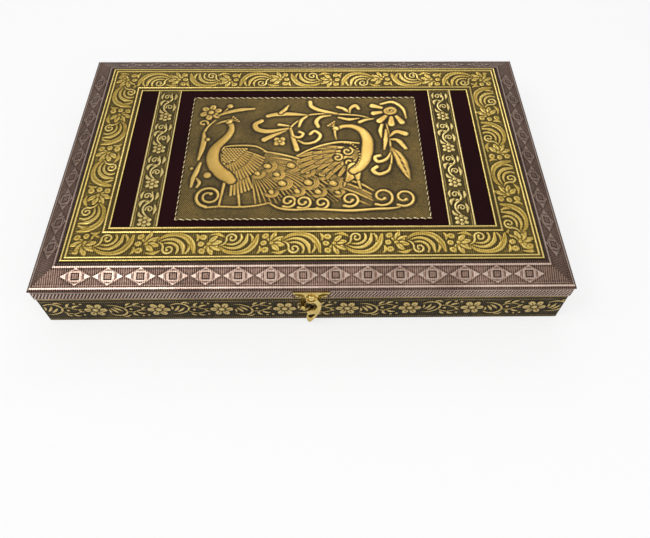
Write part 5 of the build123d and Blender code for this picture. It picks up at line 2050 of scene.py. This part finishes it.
@dataclass
class Studio:
    """Plain white studio: a floor, a pale room and three soft lamps. Places are in metres."""

    camera_place: Place = (0.0098, -0.347, 0.3915)
    tilt: float = 55.6
    yaw: float = 1.3
    roll: float = 0.7
    lens: float = 33.25
    lamps: tuple[Lamp, ...] = (
        Lamp("key", (-0.5, -0.25, 0.95), 3.3, 0.5),
        Lamp("fill", (0.5, -0.7, 0.6), 2.0, 0.6),
        Lamp("rim", (0.1, 0.8, 0.8), 1.6, 0.4),
    )
    lamp_aim: Place = (0.0, 0.0, 0.03)
    room_strength: float = 0.6
    mirrored: tuple[Point, ...] = (
        (0.0, 0.3), (0.34, 0.14), (0.55, 0.3), (0.72, 0.95), (0.88, 1.04), (1.0, 0.75),
    )
    floor_half: float = 3000.0
    floor_glow: float = 0.72

    def camera(self) -> None:
        """Stand the camera where the photograph's box is seen from."""
        tilt, yaw = math.radians(self.tilt), math.radians(self.yaw)
        forward = np.array([math.sin(yaw) * math.cos(tilt), math.cos(yaw) * math.cos(tilt), -math.sin(tilt)])
        aim = Vector(tuple(forward)).to_track_quat("-Z", "Y")
        data = bpy.data.cameras.new("camera")
        data.lens = self.lens
        data.sensor_width = 36.0
        data.clip_start = 0.01
        data.clip_end = 20.0
        camera = bpy.data.objects.new("camera", data)
        camera.location = self.camera_place
        camera.rotation_euler = (aim @ Quaternion((0, 0, 1), math.radians(self.roll))).to_euler()
        bpy.context.scene.collection.objects.link(camera)
        bpy.context.scene.camera = camera

    def lamp(self, lamp: Lamp) -> None:
        """Hang a lamp that looks at the box."""
        data = bpy.data.lights.new(lamp.name, "AREA")
        data.energy = lamp.power
        data.size = lamp.size
        holder = bpy.data.objects.new(lamp.name, data)
        holder.location = lamp.place
        way = Vector(self.lamp_aim) - Vector(lamp.place)
        holder.rotation_euler = way.to_track_quat("-Z", "Y").to_euler()
        bpy.context.scene.collection.objects.link(holder)

    def room(self) -> None:
        """Light the room evenly, with a brighter band that metal mirrors."""
        world = bpy.data.worlds.new("room")
        bpy.context.scene.world = world
        world.use_nodes = True
        world.node_tree.nodes.clear()
        nodes = NodeTree(world.node_tree, "ShaderNode")
        way = nodes.add("TexCoord").outputs["Generated"]
        rise = nodes.add("SeparateXYZ", {0: way}).outputs["Z"]
        span = nodes.add("MapRange", {"Value": rise, "From Min": -0.2, "From Max": 1.0}).outputs[0]
        greys = nodes.ramp(span, [(place, (level, level, level)) for place, level in self.mirrored])
        lit = nodes.add("Background", {"Color": WHITE, "Strength": self.room_strength}).outputs[0]
        shine = nodes.add("Background", {"Color": greys}).outputs[0]
        seen = nodes.add("Background", {"Color": WHITE}).outputs[0]
        ray = nodes.add("LightPath").outputs
        first = nodes.add("MixShader", {0: ray["Is Glossy Ray"], 1: lit, 2: shine}).outputs[0]
        second = nodes.add("MixShader", {0: ray["Is Camera Ray"], 1: first, 2: seen}).outputs[0]
        nodes.add("OutputWorld", {"Surface": second})

    def floor(self) -> None:
        """Lay a pale floor that keeps the box's shadow."""
        half = self.floor_half
        corners = np.array([(x * half, y * half, -0.5) for x, y in ((-1, -1), (1, -1), (1, 1), (-1, 1))])
        slab = np.vstack([corners, corners - [0, 0, 20.0]])
        sides = ((0, 1, 2, 3), (7, 6, 5, 4), (0, 4, 5, 1), (1, 5, 6, 2), (2, 6, 7, 3), (3, 7, 4, 0))
        floor = build_mesh("studio_floor", slab, [np.array(side) for side in sides])
        board = NodeBoard("studio_floor")
        matt = board.add("BsdfDiffuse", {"Color": (0.9, 0.9, 0.9)}).outputs[0]
        glow = board.add("Emission", {"Color": WHITE, "Strength": 1.0}).outputs[0]
        share = board.math("MULTIPLY", board.add("LightPath").outputs["Is Camera Ray"], self.floor_glow)
        mix = board.add("MixShader", {0: share, 1: matt, 2: glow}).outputs[0]
        board.add("OutputMaterial", {"Surface": mix})
        dress(floor, board.material)

    def build(self) -> None:
        """Set up the studio."""
        bpy.context.scene.view_settings.view_transform = "Standard"
        self.camera()
        self.room()
        self.floor()
        for lamp in self.lamps:
            self.lamp(lamp)


def main() -> None:
    """Build the box and its studio."""
    for part in (
        BaseSheets(), CopperBevel(), GoldBorder(), GoldStrips(), PeacockPlaque(), VelvetWork(),
        HookLatch(), PlainSolids(),
    ):
        part.build()
    Studio().build()


if __name__ == "__main__":
    main()
